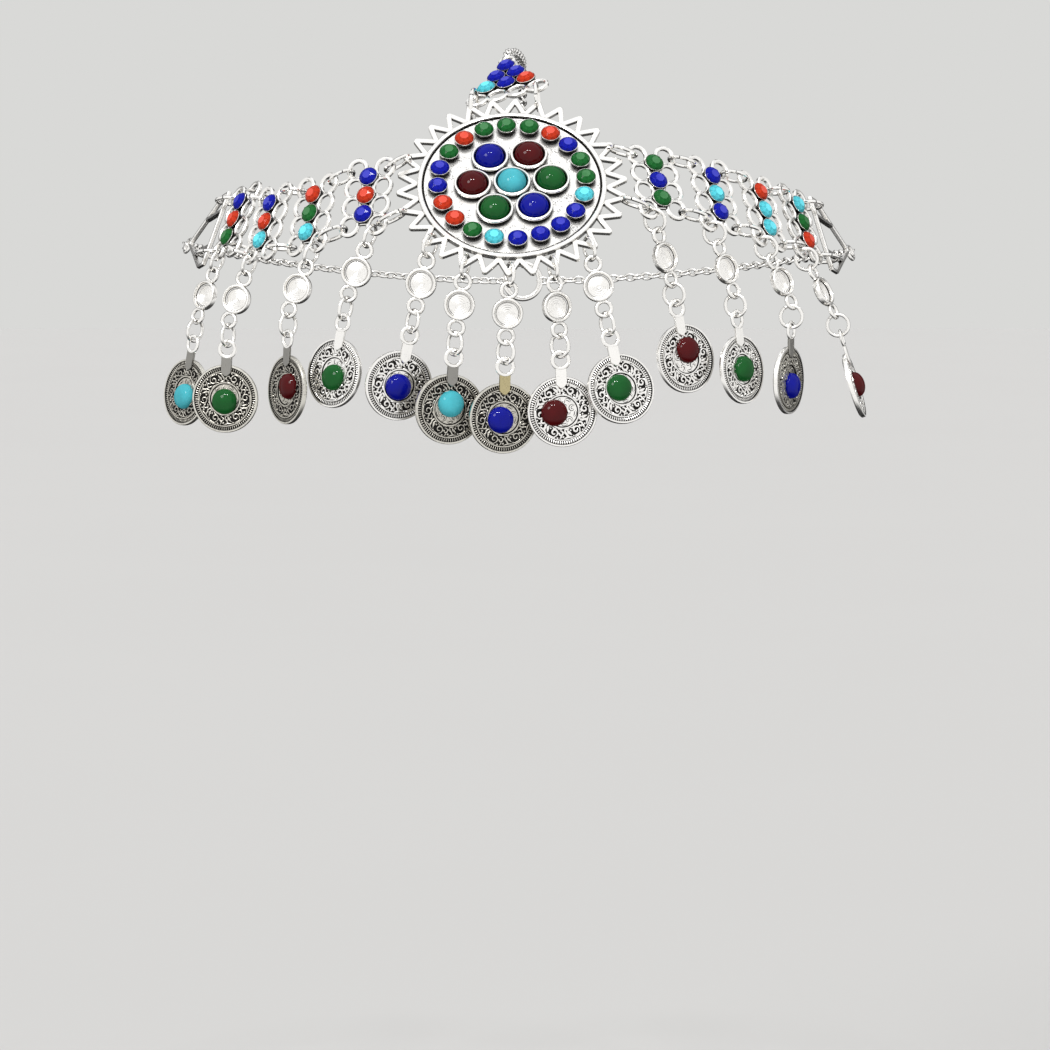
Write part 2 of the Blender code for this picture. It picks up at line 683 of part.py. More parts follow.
def drop_places(drop):
    """Where each part of a drop lies, and which way it faces."""
    line = drop_line(drop, drop.cup_swing)
    low_line = drop_line(drop, drop.coin_swing)
    cup_facing = frame_from(Vector(), -line, outward(drop.heading))
    coin_facing = frame_from(Vector(), -low_line, outward(drop.turn))
    inner = HANG_RING_RADIUS - HANG_WIRE_RADIUS
    eye_grip = inner - EYE_WIRE / 2.0 + SOLDER_OVERLAP
    ring_standing = frame_from(Vector(), -line, outward(drop.ring))
    low_standing = frame_from(Vector(), -low_line, outward(drop.low))
    hook = hook_place(drop)
    fall = line.copy()
    if isinstance(drop.hook, int):
        axis = facing_of(ring_standing)
        radial = (hook - MEDALLION_AT).normalized()
        fall = (line + HOOK_OUTWARD * (radial - axis * radial.dot(axis))).normalized()
    ring = hook + fall * HANG_RING_RADIUS
    eye = ring + line * (eye_grip + EYE_RADIUS)
    cup = eye + line * (EYE_RADIUS + CUP_RADIUS)
    low_eye = cup + line * (CUP_RADIUS + EYE_RADIUS)
    low_ring = low_eye + low_line * (EYE_RADIUS + eye_grip)
    bail = low_ring + low_line * (inner - BAIL_WIRE / 2.0 - PIECE_GAP + BAIL_RADIUS)
    tab_middle = COIN_THICKNESS / 2.0 + TAB_THICKNESS / 2.0 - 0.0001
    coin = bail + low_line * (BAIL_ABOVE_EDGE + COIN_HALF_HEIGHT)
    coin = coin - facing_of(coin_facing) * tab_middle
    return {
        "ring": Matrix.Translation(ring) @ ring_standing,
        "eye": Matrix.Translation(eye) @ cup_facing,
        "cup": Matrix.Translation(cup) @ cup_facing,
        "low_eye": Matrix.Translation(low_eye) @ cup_facing,
        "low_ring": Matrix.Translation(low_ring) @ low_standing,
        "coin": Matrix.Translation(coin) @ coin_facing,
    }


def build_drop(drop):
    """One drop: its hanger with cup and rings, and its coin with bail and stone."""
    places = drop_places(drop)
    face = COIN_THICKNESS / 2.0
    tab_middle = face + TAB_THICKNESS / 2.0 - 0.0001
    solids = []
    half = CUP_DEPTH / 2.0
    cup = turned(
        (
            (CUP_RADIUS, -half),
            (CUP_RADIUS, half),
            (CUP_RADIUS - CUP_WALL, half),
            (CUP_RADIUS - CUP_WALL, -half + CUP_FLOOR),
        ),
        CUP_SIDES,
        phase=18.0,
    )
    solids.append(moved(cup, places["cup"]))
    for place in (places["eye"], places["low_eye"]):
        eye = washer(EYE_RADIUS, EYE_WIRE, EYE_THICKNESS, EYE_SIDES)
        solids.append(moved(eye, place))
    for place in (places["ring"], places["low_ring"]):
        ring = torus(HANG_RING_RADIUS, HANG_WIRE_RADIUS, HANG_SIDES, JOIN_WIRE_SIDES)
        solids.append(moved(ring, place))
    fused("hanger_" + drop.name, solids, SILVER)

    stretch = (COIN_HALF_WIDTH / COIN_HALF_HEIGHT, 1.0)
    rim = COIN_HALF_HEIGHT - COIN_RIM_WIDTH
    disc = turned(
        (
            (COIN_HALF_HEIGHT, -face),
            (COIN_HALF_HEIGHT, face + COIN_RIM_HEIGHT),
            (rim, face),
        ),
        COIN_SIDES,
        phase=90.0,
        stretch=stretch,
    )
    stone_profile = (
        (COIN_STONE_RADIUS, face - 0.0002),
        (COIN_STONE_RADIUS * 0.85, face + COIN_STONE_DOME * 0.6),
        (0.0, face + COIN_STONE_DOME),
    )
    stone = turned(stone_profile, 8, phase=22.5)
    moved(stone, Matrix.Translation((drop.stone_x * TABLE_UNIT, drop.stone_y * TABLE_UNIT, 0.0)))
    bail_y = BAIL_ABOVE_EDGE + COIN_HALF_HEIGHT
    bail = washer(BAIL_RADIUS, BAIL_WIRE, TAB_THICKNESS, BAIL_SIDES, phase=22.5)
    moved(bail, Matrix.Translation((0.0, bail_y, tab_middle)))
    tab_top = bail_y - BAIL_RADIUS
    tab_low = COIN_HALF_HEIGHT - TAB_BELOW_EDGE
    tab_outline = (
        (-TAB_HALF_WIDTH, tab_top),
        (-TAB_HALF_WIDTH, tab_low + TAB_HALF_WIDTH),
        (0.0, tab_low),
        (TAB_HALF_WIDTH, tab_low + TAB_HALF_WIDTH),
        (TAB_HALF_WIDTH, tab_top),
    )
    tab = extruded(tab_outline, TAB_THICKNESS - 0.0001, base=tab_middle - TAB_THICKNESS / 2.0)
    coin = [moved(solid, places["coin"]) for solid in (disc, stone, bail, tab)]
    dark = drop.name in ("front_2", "front_3")
    fused("coin_" + drop.name, coin, GREY_SILVER if dark else SILVER)


def evenly(points, step):
    """The same way in equal steps."""
    lengths = [0.0]
    for one, other in zip(points, points[1:]):
        lengths.append(lengths[-1] + (other - one).length)
    count = max(2, round(lengths[-1] / step))
    out = []
    index = 0
    for number in range(count + 1):
        target = lengths[-1] * number / count
        while index < len(points) - 2 and lengths[index + 1] < target:
            index += 1
        span = lengths[index + 1] - lengths[index]
        share = (target - lengths[index]) / span if span else 0.0
        out.append(points[index].lerp(points[index + 1], share))
    return out


def trimmed(points, from_start, from_end):
    """The way without a length at each end."""
    for length, at_end in ((from_start, False), (from_end, True)):
        if at_end:
            points = points[::-1]
        while len(points) > 2 and (points[1] - points[0]).length <= length:
            length -= (points[1] - points[0]).length
            points = points[1:]
        way = points[1] - points[0]
        points = [points[0] + way.normalized() * length] + points[1:]
        if at_end:
            points = points[::-1]
    return points


def crown_way():
    """From the crown link's eye over the top of the head to the closing ring."""
    start = link_frame(CROWN_POSE) @ Vector((0.0, apex_eye_reach(), 0.0))
    centre = -CROWN_HEIGHT
    points = []
    first = math.asin(-start.y / CROWN_FRONT_REACH)
    last = math.acos((BACK_LEVEL - centre) / CROWN_HEIGHT)
    for step in range(201):
        turn = -first + (last + first) * step / 200.0
        reach = CROWN_FRONT_REACH if turn < 0.0 else CROWN_BACK_REACH
        y = (reach + CHAIN_RADIUS) * math.sin(turn)
        z = centre + (CROWN_HEIGHT + CHAIN_RADIUS) * math.cos(turn)
        points.append(Vector((0.0, y, z)))
    points = eased_start(points, start)
    return eased_start(points[::-1], clasp_place())[::-1]


def eased_start(points, start):
    """The way bent so that it leaves from a place, easing back over its first part."""
    off = start - points[0]
    count = len(points) * 0.3
    out = []
    for index, point in enumerate(points):
        share = max(0.0, 1.0 - index / count)
        out.append(point + off * share * share * (3.0 - 2.0 * share))
    return out


def back_way(pose):
    """From an end link's eye round the back of the head to the closing ring."""
    side = side_of(pose)
    start = link_frame(pose) @ Vector((side * apex_eye_reach(), 0.0, 0.0))
    half_width = HEAD_HALF_WIDTH_LEFT if side < 0.0 else HEAD_HALF_WIDTH_RIGHT
    first = math.acos(-start.y / HEAD_FRONT_REACH)
    end = clasp_place()
    points = []
    for step in range(201):
        share = step / 200.0
        turn = first + (math.pi - first) * share
        reach = HEAD_FRONT_REACH if turn < math.pi / 2.0 else HEAD_BACK_REACH
        x = side * (half_width + CHAIN_RADIUS) * math.sin(turn)
        y = -(reach + CHAIN_RADIUS) * math.cos(turn)
        eased = share * share * (3.0 - 2.0 * share)
        points.append(Vector((x, y, start.z + (end.z - start.z) * eased)))
    return eased_start(points, start)


def clasp_place():
    return Vector((0.0, HEAD_BACK_REACH + CHAIN_RADIUS, BACK_LEVEL))


def build_tube(name, way):
    """A plain chain as a tube of its outer width along its way."""
    curve = bpy.data.curves.new(name, "CURVE")
    curve.dimensions = "3D"
    curve.bevel_depth = CHAIN_RADIUS
    curve.bevel_resolution = 2
    curve.use_fill_caps = True
    points = evenly(way, CHAIN_STEP)
    spline = curve.splines.new("POLY")
    spline.points.add(len(points) - 1)
    for spot, place in zip(spline.points, points):
        spot.co = (place.x, place.y, place.z, 1.0)
    curve.materials.append(material(name, SILVER))
    made = bpy.data.objects.new(name, curve)
    bpy.context.collection.objects.link(made)


def build_chains():
    """The plain chains over and round the head, and the ring that closes them."""
    eye_clear = EYE_RADIUS + EYE_WIRE / 2.0 + PIECE_GAP
    ring_clear = CLASP_RADIUS + CLASP_WIRE_RADIUS + PIECE_GAP
    ways = (
        ("crown_chain", crown_way()),
        ("back_chain_left", back_way(pose_of("end_link_left"))),
        ("back_chain_right", back_way(pose_of("end_link_right"))),
    )
    for name, way in ways:
        build_tube(name, trimmed(way, eye_clear, ring_clear))
    upright = Matrix.Rotation(math.radians(90.0), 4, "X")
    ring = torus(CLASP_RADIUS, CLASP_WIRE_RADIUS, CLASP_SIDES, JOIN_WIRE_SIDES + 1)
    fused("clasp", [moved(ring, Matrix.Translation(clasp_place()) @ upright)], SILVER)


def shade(limit=40.0):
    """Smooth shading on round pieces, sharp where faces meet at a clear angle."""
    for piece in bpy.data.objects:
        if piece.type != "MESH":
            continue
        bm = bmesh.new()
        bm.from_mesh(piece.data)
        for face in bm.faces:
            face.smooth = True
        for edge in bm.edges:
            edge.smooth = edge.calc_face_angle(0.0) < math.radians(limit)
        bm.to_mesh(piece.data)
        bm.free()


def main():
    for old in list(bpy.data.objects):
        bpy.data.objects.remove(old)
    build_medallion()
    build_cabochons()
    build_links()
    for drop in DROPS:
        build_drop(drop)
    build_chains()
    shade()


main()
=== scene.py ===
"""Coin head chain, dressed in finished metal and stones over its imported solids.

Places come from the same sizes and tables as the solids. Metres, and degrees for angles.
Local frames have X along the head to the viewer's right, Y up the head and Z outward.
"""

import math
from collections import namedtuple
from functools import cache, partial

import bmesh
import bpy
from bpy.props import FloatProperty, FloatVectorProperty, IntProperty, PointerProperty
from mathutils import Matrix, Vector


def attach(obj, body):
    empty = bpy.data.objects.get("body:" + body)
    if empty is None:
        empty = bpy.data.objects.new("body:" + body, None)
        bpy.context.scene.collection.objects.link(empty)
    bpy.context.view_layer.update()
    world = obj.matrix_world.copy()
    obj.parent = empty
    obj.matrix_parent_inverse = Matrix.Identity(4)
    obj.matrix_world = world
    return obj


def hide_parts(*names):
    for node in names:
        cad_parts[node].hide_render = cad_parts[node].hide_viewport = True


bl_info = {
    "name": "Coin Head Chain",
    "version": (1, 0, 0),
    "blender": (4, 5, 0),
    "location": "3D View > Sidebar > Head Chain",
    "description": "Builds the finished pieces of a coin head chain over its packed solids",
    "category": "Object",
}

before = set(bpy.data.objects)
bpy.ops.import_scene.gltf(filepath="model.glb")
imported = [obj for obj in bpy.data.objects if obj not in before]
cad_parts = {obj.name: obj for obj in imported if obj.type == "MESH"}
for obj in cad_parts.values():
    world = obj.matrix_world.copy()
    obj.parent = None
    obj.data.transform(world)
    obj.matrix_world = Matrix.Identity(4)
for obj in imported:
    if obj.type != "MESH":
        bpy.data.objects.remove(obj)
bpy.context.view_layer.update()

# Head hollow that the jewel is worn on
HEAD_HALF_WIDTH_LEFT = 0.0859
HEAD_HALF_WIDTH_RIGHT = 0.0830
HEAD_FRONT_REACH = 0.0800
HEAD_BACK_REACH = 0.1000
CROWN_FRONT_REACH = 0.0950
CROWN_BACK_REACH = 0.1020
CROWN_HEIGHT = 0.0750
BACK_LEVEL = -0.0600

# Medallion
MEDALLION_AT = Vector((-0.0025, -0.0750, -0.0316))
MEDALLION_LEAN = 41.0
MEDALLION_ROLL = 4.5
PLATE_RADIUS = 0.0231
PLATE_THICKNESS = 0.0012
RIM_WIDTH = 0.00115
RIM_HEIGHT = 0.0006
GROOVE_WIDTH = 0.00030
TEETH = 30
TOOTH_VALLEY_RADIUS = 0.0233
TOOTH_TIP_RADIUS = 0.0279
TOOTH_WIDTH = 0.0010
TOOTH_THICKNESS = 0.0012
BEZEL_RADIUS = 0.0046
BEZEL_WALL = 0.00080
BEZEL_HEIGHT = 0.0017
BEZEL_PITCH = 0.0096
CABOCHON_RADIUS = 0.0035
CABOCHON_DOME = 0.0030
CABOCHON_SEAT = 0.0003
CABOCHON_GIRDLE = 0.0006
CHATON_COUNT = 20
CHATON_RING_RADIUS = 0.0181
CHATON_LIFT = 0.0003

# Faceted stone in its cup
STONE_CUP_RADIUS = 0.00248
STONE_CUP_HEIGHT = 0.0013
STONE_GIRDLE_RADIUS = 0.00236
STONE_TABLE_RADIUS = 0.00110
STONE_CROWN_HEIGHT = 0.0011
STONE_FOOT_DEPTH = 0.0004
STONE_SINK = 0.00005

# Cast links
STONE_PITCH = 0.00515
STONE_ROW = STONE_PITCH * math.sqrt(3.0) / 2.0
LINK_THICKNESS = 0.0012
LINK_SPINE_HALF_WIDTH = 0.0010
LOOP_WIRE = 0.0009
LOOP_REACH = 0.0064
LOOP_ROOT = 0.0009
LOOP_CENTRE = (LOOP_REACH + LOOP_ROOT) / 2.0

# Rings
JOIN_RING_RADIUS = 0.0034
JOIN_WIRE_RADIUS = 0.00045
LOOP_GRIP = LOOP_REACH - LOOP_WIRE - JOIN_WIRE_RADIUS
SOLDER_OVERLAP = 0.00015
PIECE_GAP = 0.0003
TOOTH_HOLE_RADIUS = 0.0244
HOOK_OUTWARD = 1.2
HOOK_REACH = 0.0029
RING_LEAN = 8.0
RING_PLAY = 0.0006
TOOTH_RING_PLAY = 0.0011
TOOTH_SOLDER_RADIUS = 0.0268
HANG_RING_RADIUS = 0.00275
HANG_WIRE_RADIUS = 0.00045

# Connector cup of a drop, and the ripples turned in its floor
CUP_RADIUS = 0.00375
CUP_WALL = 0.0006
CUP_DEPTH = 0.0018
CUP_FLOOR = 0.0007
RIPPLE_PITCH = 0.00052
RIPPLE_WIDTH = 0.00016
RIPPLE_LEAST = 0.0005
EYE_RADIUS = 0.0018
EYE_WIRE = 0.0010
APEX_EYE_REACH = 2.0 * STONE_ROW + STONE_CUP_RADIUS + EYE_RADIUS

# Coin drop
COIN_RADIUS = 0.0085
COIN_THICKNESS = 0.0010
COIN_STONE_RADIUS = 0.0032
COIN_STONE_DOME = 0.0021
COIN_STONE_GIRDLE = 0.0004
BAIL_RADIUS = 0.0020
BAIL_WIRE = 0.0010
BAIL_ABOVE_EDGE = 0.0039
TAB_HALF_WIDTH = 0.00135
TAB_THICKNESS = 0.0008
TAB_BELOW_EDGE = 0.0029
SUNK = 0.0001
TAB_MIDDLE = (COIN_THICKNESS + TAB_THICKNESS) / 2.0 - SUNK

# Ornament of a coin: the two edges of its band, and the half width of its strokes
BAND_LOW = 0.0043
BAND_HIGH = 0.0066
STROKE = 0.00024

# Plain chains and the closing ring at the back
CHAIN_RADIUS = 0.0014
CHAIN_STEPS = 200
CLASP_RADIUS = 0.0052
CLASP_WIRE_RADIUS = 0.0009

# Grain of the finishes, in millimetres from one spot to the next
MOULD_PIT_MM = 0.3
TARNISH_CLOUD_MM = 2.4
DYE_SWIRL_MM = 3.8
POLISH_GRAIN_MM = 0.65
BOARD_MOTTLE_MM = 330.0

# Angle past which an edge shows as sharp
CAST_EDGE = 35.0
STRUCK_EDGE = 40.0
WIRE_EDGE = 50.0
POLISHED_EDGE = 60.0

# Camera of the photograph: place in metres, tilt in degrees, and the frame's own measures
CAMERA_AT = Vector((0.00067, -0.87921, -0.03012))
CAMERA_TILT = 84.0
CAMERA_FOCAL_PIXELS = 3280.0
PHOTO_PIXELS = 1050.0
SENSOR_MM = 36.0
FLOOR_REACH = 6.0

HERE = Matrix.Identity(4)
CENTRE = Vector((0.0, 0.0, 0.0))

Pose = namedtuple("Pose", "name x y z heading lean roll stones")
Drop = namedtuple(
    "Drop", "name hook side heading cup_swing coin_swing lean turn ring low stone_x stone_y stone"
)

# One step of the tables below
TABLE_UNIT = 0.001

# Where each cast link lies: table units, then degrees, then its stones from top to bottom
LINK_POSES = (
    Pose("band_link_right_1", 33.0, -69.4, -30.7, 23.7, 33.4, -3.3, "GBG"),
    Pose("band_link_right_2", 47.5, -62.5, -33.9, 38.4, 29.2, -9.2, "BTB"),
    Pose("band_link_right_3", 60.1, -52.8, -37.9, 49.6, 27.0, -12.6, "CTT"),
    Pose("band_link_right_4", 70.6, -40.6, -41.2, 58.1, 25.7, -14.7, "TGC"),
    Pose("end_link_right", 79.6, -27.3, -45.4, 67.5, 23.8, -17.6, ""),
    Pose("band_link_left_1", -37.8, -74.8, -34.2, -23.9, 28.0, 4.9, "BCB"),
    Pose("band_link_left_2", -51.7, -67.9, -38.6, -40.1, 25.0, 9.0, "CGT"),
    Pose("band_link_left_3", -63.5, -56.7, -40.8, -50.0, 25.9, 10.1, "BCT"),
    Pose("band_link_left_4", -72.4, -43.5, -40.4, -58.3, 28.1, 11.6, "BCG"),
    Pose("end_link_left", -81.2, -30.0, -43.9, -68.3, 25.7, 15.8, ""),
)
CROWN_POSE = Pose("crown_link", -3.8, -48.7, -6.7, 0.0, 61.0, 18.0, "TBCBBB")
CROWN_TWIST = -8.5

# The drops: what each hangs on and on which side, then in degrees how its cup faces, how its
# line swings and leans, and how its coin and two rings face, then where its stone is glued
DROPS = (
    Drop("front_1", 216, 0, -8, -13.3, -11.6, 1.0, 22, 58, -60, -0.2, -0.4, "B"),
    Drop("front_2", 240, 0, -4, -8.5, -4.4, 1.0, 18, 74, -52, 0.2, 1.3, "T"),
    Drop("front_3", 264, 0, 4, -3.6, -1.6, 1.0, 16, -70, -45, -0.8, -0.4, "B"),
    Drop("front_4", 288, 0, 26, 4.5, 1.4, 2.4, 8, -70, -42, -2.0, -0.2, "R"),
    Drop("front_5", 312, 0, 4, 13.1, 12.2, 7.5, 22, -66, -58, -0.6, 0.3, "G"),
    Drop("left_1", "band_link_left_1", -1, -12, -20.5, -10.8, 2.0, -40, 68, 62, 0.3, -1.1, "G"),
    Drop("left_2", "band_link_left_2", -1, -26, -21.5, -2.0, 2.0, -55, 62, 50, 1.6, 0.9, "R"),
    Drop("left_3", "band_link_left_3", 1, -24, -19.0, -2.3, 3.0, -12, 64, 62, 0.0, -0.7, "G"),
    Drop("left_4", "band_link_left_4", 1, -44, -19.5, -9.9, 1.0, -47, 66, 55, 0.3, -1.1, "T"),
    Drop("right_1", "band_link_right_1", -1, 44, 14.2, 10.2, 2.0, 35, -30, -28, 0.8, 1.9, "R"),
    Drop("right_2", "band_link_right_2", -1, 46, 17.2, 6.1, 2.0, 50, -18, -30, 0.2, 0.1, "G"),
    Drop("right_3", "band_link_right_3", -1, 52, 24.0, -1.5, 2.0, 62, -15, -15, 0.5, -1.4, "B"),
    Drop("right_4", "band_link_right_4", -1, 66, 28.0, 18.0, 0.0, 80, -15, -15, 0.0, 0.1, "R"),
)

# Coins that aren't bright all over: rim, relief, bail tab, and whether only stroke backs are rubbed bright,
# their flanks black with oxide and painted shade
GREY_LOOKS = ("grey", "dull", "grey_tab", True)
GREY_COINS = {
    "front_2": GREY_LOOKS,
    "front_3": ("grey", "dull", "brass_tab", True),
    "left_2": GREY_LOOKS,
    "left_3": GREY_LOOKS,
    "left_4": GREY_LOOKS,
    "right_3": ("struck", "grey", "grey_tab", False),
}

# Stones of the medallion, anticlockwise from its right: the ring of small ones, then the domes
RING_STONES = "GGBCGGGCGBBCCGTBBBBT"
DOME_STONES = "TGRBRGB"
STONE_COLOURS = {"B": "blue", "G": "green", "C": "coral", "T": "turquoise", "R": "red"}

# Metal finishes: name, colour, reach of the black as a share, roughness, grain and darkness
METALS = {
    "silver": ("silver_plated_casting", "bright", 1.0, 0.22, 0.45, 0.0),
    "plate": ("silver_plated_sheet_mottled", "bright", 1.4, 0.28, 0.95, 0.0),
    "wire": ("silver_plated_steel_wire", "bright", 0.8, 0.12, 0.15, 0.0),
    # The black finish is oxide in the hollows, and painted shade where it lines the cup walls, the feet of
    # the bezels and the outlines of coin strokes
    "black": ("oxidised_silver_recess", "bright", 1.0, 0.45, 0.30, 0.985),
    "struck": ("silver_plated_struck_coin", "bright", 0.25, 0.24, 0.25, 0.0),
    "grey": ("worn_grey_struck_coin", "grey", 0.35, 0.30, 0.60, 0.0),
    "dull": ("dull_grey_coin_relief", "dull", 0.35, 0.32, 0.60, 0.0),
    "tab": ("silver_plated_strip", "bright", 0.3, 0.34, 0.15, 0.0),
    "grey_tab": ("dull_nickel_strip", "nickel", 0.3, 0.30, 0.25, 0.0),
    "brass_tab": ("warm_nickel_strip", "brass", 0.3, 0.32, 0.30, 0.0),
}


def linear(code):
    """An sRGB hex colour as linear red, green and blue."""
    parts = [int(code[i : i + 2], 16) / 255.0 for i in (1, 3, 5)]
    return tuple(v / 12.92 if v <= 0.04045 else ((v + 0.055) / 1.055) ** 2.4 for v in parts)


def colour(name, description, code):
    """A colour setting from its hex code."""
    return FloatVectorProperty(
        name=name, description=description, default=linear(code), min=0.0, max=1.0, size=3, subtype="COLOR"
    )


def length(name, description, metres):
    """A length setting in metres."""
    return FloatProperty(
        name=name, description=description, default=metres, min=0.0, precision=5, unit="LENGTH"
    )


class HeadChainMetal(bpy.types.PropertyGroup):
    """Colours and fine sizes of the metal."""

    bright: colour("Polished high spots", "Plated metal where it is rubbed bright", "#F4F2EE")
    # The blackened recess colour is oxide in the hollows and also painted shade: occlusion darkening in
    # corners, and painted shadow on cup walls and round coin strokes
    dark: colour("Blackened recess", "Oxide left in the corners", "#161413")
    grey: colour("Worn coins", "The coins whose plating has gone grey", "#D2CFC6")
    dull: colour("Worn relief", "The raised ornament of the worn coins", "#C4C0B6")
    nickel: colour("Grey bail", "The bail tabs that show grey metal", "#918F8A")
    brass: colour("Warm bail", "The one bail tab that shows warm metal", "#B8AC84")
    # The recess reach is how far the painted shade and the oxide spread out of a corner
    recess_reach: length("Recess reach", "How far the black creeps out of a corner", 0.0009)
    chain_wire: length("Chain wire", "Wire diameter of the plain chain", 0.00075)
    chain_link: length("Chain link", "Outer length of a plain chain link", 0.0042)
    ticks: IntProperty(name="Coin ticks", description="Fine radial ticks round a coin", default=86, min=12)
    relief: length("Coin relief", "Height of a coin's raised ornament", 0.00028)


class HeadChainStones(bpy.types.PropertyGroup):
    """Colours of the stones."""

    blue: colour("Cobalt", "Cobalt blue stones", "#060F86")
    green: colour("Green", "Green stones", "#135322")
    coral: colour("Coral", "Coral red faceted stones", "#A62C14")
    turquoise: colour("Turquoise", "Turquoise stones", "#46AAB6")
    red: colour("Garnet", "Dark red domed stones", "#48070A")


class HeadChainStage(bpy.types.PropertyGroup):
    """Floor and light."""

    floor: colour("Floor", "Plain pale floor", "#CBCAC8")
    backdrop: colour("Backdrop", "What shows beyond the floor", "#D9D9D7")
    drop: length("Floor depth", "How far the floor lies below the origin", 0.34)
    key: FloatProperty(name="Key light", description="Strength of the main light", default=1.10, min=0.0)


def opaque(shade):
    """A grey or a colour with full cover."""
    return (shade, shade, shade, 1.0) if isinstance(shade, float) else (*shade, 1.0)


def node(tree, kind, inputs=None, stops=(), **settings):
    """Adds a node of a kind, or takes the one of that name, and gives its settings and links.

    An input is a socket to link from or a value. Stops are a colour ramp's places and shades.
    """
    made = tree.nodes.get(kind) or tree.nodes.new(kind)
    for key, value in settings.items():
        setattr(made, key, value)
    for key, value in (inputs or {}).items():
        if isinstance(value, bpy.types.NodeSocket):
            tree.links.new(value, made.inputs[key])
        else:
            made.inputs[key].default_value = value
    for _ in stops[2:]:
        made.color_ramp.elements.new(0.5)
    for index, (place, shade) in enumerate(stops):
        made.color_ramp.elements[index].position = place
        made.color_ramp.elements[index].color = opaque(shade)
    return made.outputs


def per_metre(millimetres):
    """A pattern's scale from the real distance between its spots."""
    return 1000.0 / millimetres


def material(name):
    """A fresh material, what adds its nodes, and the place that its patterns read."""
    made = bpy.data.materials.new(name)
    made.use_nodes = True
    add = partial(node, made.node_tree)
    return made, add, add("ShaderNodeTexCoord")["Object"]


def plated_metal(name, high, low, reach, roughness, grain, base):
    """Silver plate over a zinc casting, blackened and rubbed back.

    The high spots are bright and fairly sharp, the corners hold black oxide together with painted
    shade from ambient occlusion, and small pits from the mould break up the reflections.
    """
    made, add, spot = material(name)
    # Painted shade: ambient occlusion darkens the corners and hollows towards the black, which also stands
    # for their oxide
    hollow = add("ShaderNodeAmbientOcclusion", {"Distance": reach}, samples=6)["AO"]
    pitting = {"Vector": spot, "Scale": per_metre(MOULD_PIT_MM), "Detail": 3.0, "Roughness": 0.6}
    mottle = add("ShaderNodeTexNoise", pitting)[0]
    clouding = {"Vector": spot, "Scale": per_metre(TARNISH_CLOUD_MM), "Detail": 2.0}
    cloud = add("ShaderNodeTexNoise", clouding)[0]
    ragged = 0.36 * grain
    edge = add("ShaderNodeMath", {0: mottle, 1: ragged, 2: hollow}, operation="MULTIPLY_ADD")[0]
    shift = ragged * 0.5
    stops = ((0.28 + shift, 1.0), (0.52 + shift, 0.40), (0.70 + shift, 0.0))
    corner = add("ShaderNodeValToRGB", {0: edge}, stops)[0]
    rub = 0.05 * grain
    worn = add("ShaderNodeValToRGB", {0: mottle}, ((0.57 - rub, 0.0), (0.65 - rub, 1.0)))[0]
    patches = add("ShaderNodeValToRGB", {0: cloud}, ((0.42, 0.0), (0.58, 1.0)))[0]
    speck = add("ShaderNodeMath", {0: worn, 1: patches}, operation="MULTIPLY")[0]
    tarnish = add("ShaderNodeMath", {0: speck, 1: grain, 2: base}, operation="MULTIPLY_ADD")[0]
    darkness = add("ShaderNodeMath", {0: corner, 1: tarnish}, operation="ADD", use_clamp=True)[0]
    tones = {"Factor": darkness, 6: opaque(high), 7: opaque(low)}
    shade = add("ShaderNodeMix", tones, data_type="RGBA")[2]
    rough = add("ShaderNodeMapRange", {"Value": darkness, "To Min": roughness, "To Max": 0.6})[0]
    pits = add("ShaderNodeBump", {"Strength": 0.12, "Distance": 0.00006, "Height": mottle})[0]
    add("Principled BSDF", {"Base Color": shade, "Roughness": rough, "Normal": pits, "Metallic": 1.0})
    return made


def stone_material(name, shade, cut):
    """Moulded acrylic stone, dyed through and polished.

    The colour is deep and opaque with slightly paler swirls of dye through the body, under a clear
    sharp gloss. Cut stones are a little cloudier than the domes, and each facet carries a painted
    reflection, palest on the table.
    """
    made, add, spot = material(name)

    def tint(gain, lift=0.0):
        """The dye deepened or paled, for its swirls and for the painted reflections on the facets."""
        return tuple(min(1.0, v * gain + lift) for v in shade)

    swirl = add("ShaderNodeTexNoise", {"Vector": spot, "Scale": per_metre(DYE_SWIRL_MM), "Detail": 3.0})[0]
    tone = add("ShaderNodeValToRGB", {0: swirl}, ((0.30, 0.0), (0.72, 1.0)))[0]
    stops = ((0.0, tint(0.84)), (1.0, tint(1.12)))
    smooth, dulled, specular, coat, coat_rough = 0.08, 0.12, 0.0, 0.32, 0.03
    if cut:
        # Each facet has a painted reflection of its own, lighter or darker facet by facet and palest on the
        # table, over the dye's swirl
        facet = add("ShaderNodeAttribute", attribute_name="facet")["Fac"]
        parts = {0: tone, 1: 0.15, 2: facet}
        tone = add("ShaderNodeMath", parts, operation="MULTIPLY_ADD", use_clamp=True)[0]
        stops = ((0.0, tint(0.62)), (0.74, tint(1.35)), (0.96, tint(1.70, 0.05)))
        smooth, dulled, specular, coat, coat_rough = 0.16, 0.24, 0.05, 0.10, 0.10
    body = add("ShaderNodeValToRGB", {0: tone}, stops)[0]
    fine = add("ShaderNodeTexNoise", {"Vector": spot, "Scale": per_metre(POLISH_GRAIN_MM), "Detail": 2.0})[0]
    polish = {"Value": fine, "From Min": 0.35, "From Max": 0.75, "To Min": smooth, "To Max": dulled}
    rough = add("ShaderNodeMapRange", polish)[0]
    ripple = add("ShaderNodeBump", {"Strength": 0.05, "Distance": 0.00005, "Height": swirl})[0]
    gloss = {"IOR": 1.5, "Specular IOR Level": specular, "Coat Weight": coat, "Coat Roughness": coat_rough}
    add("Principled BSDF", {"Base Color": body, "Roughness": rough, "Normal": ripple, **gloss})
    return made


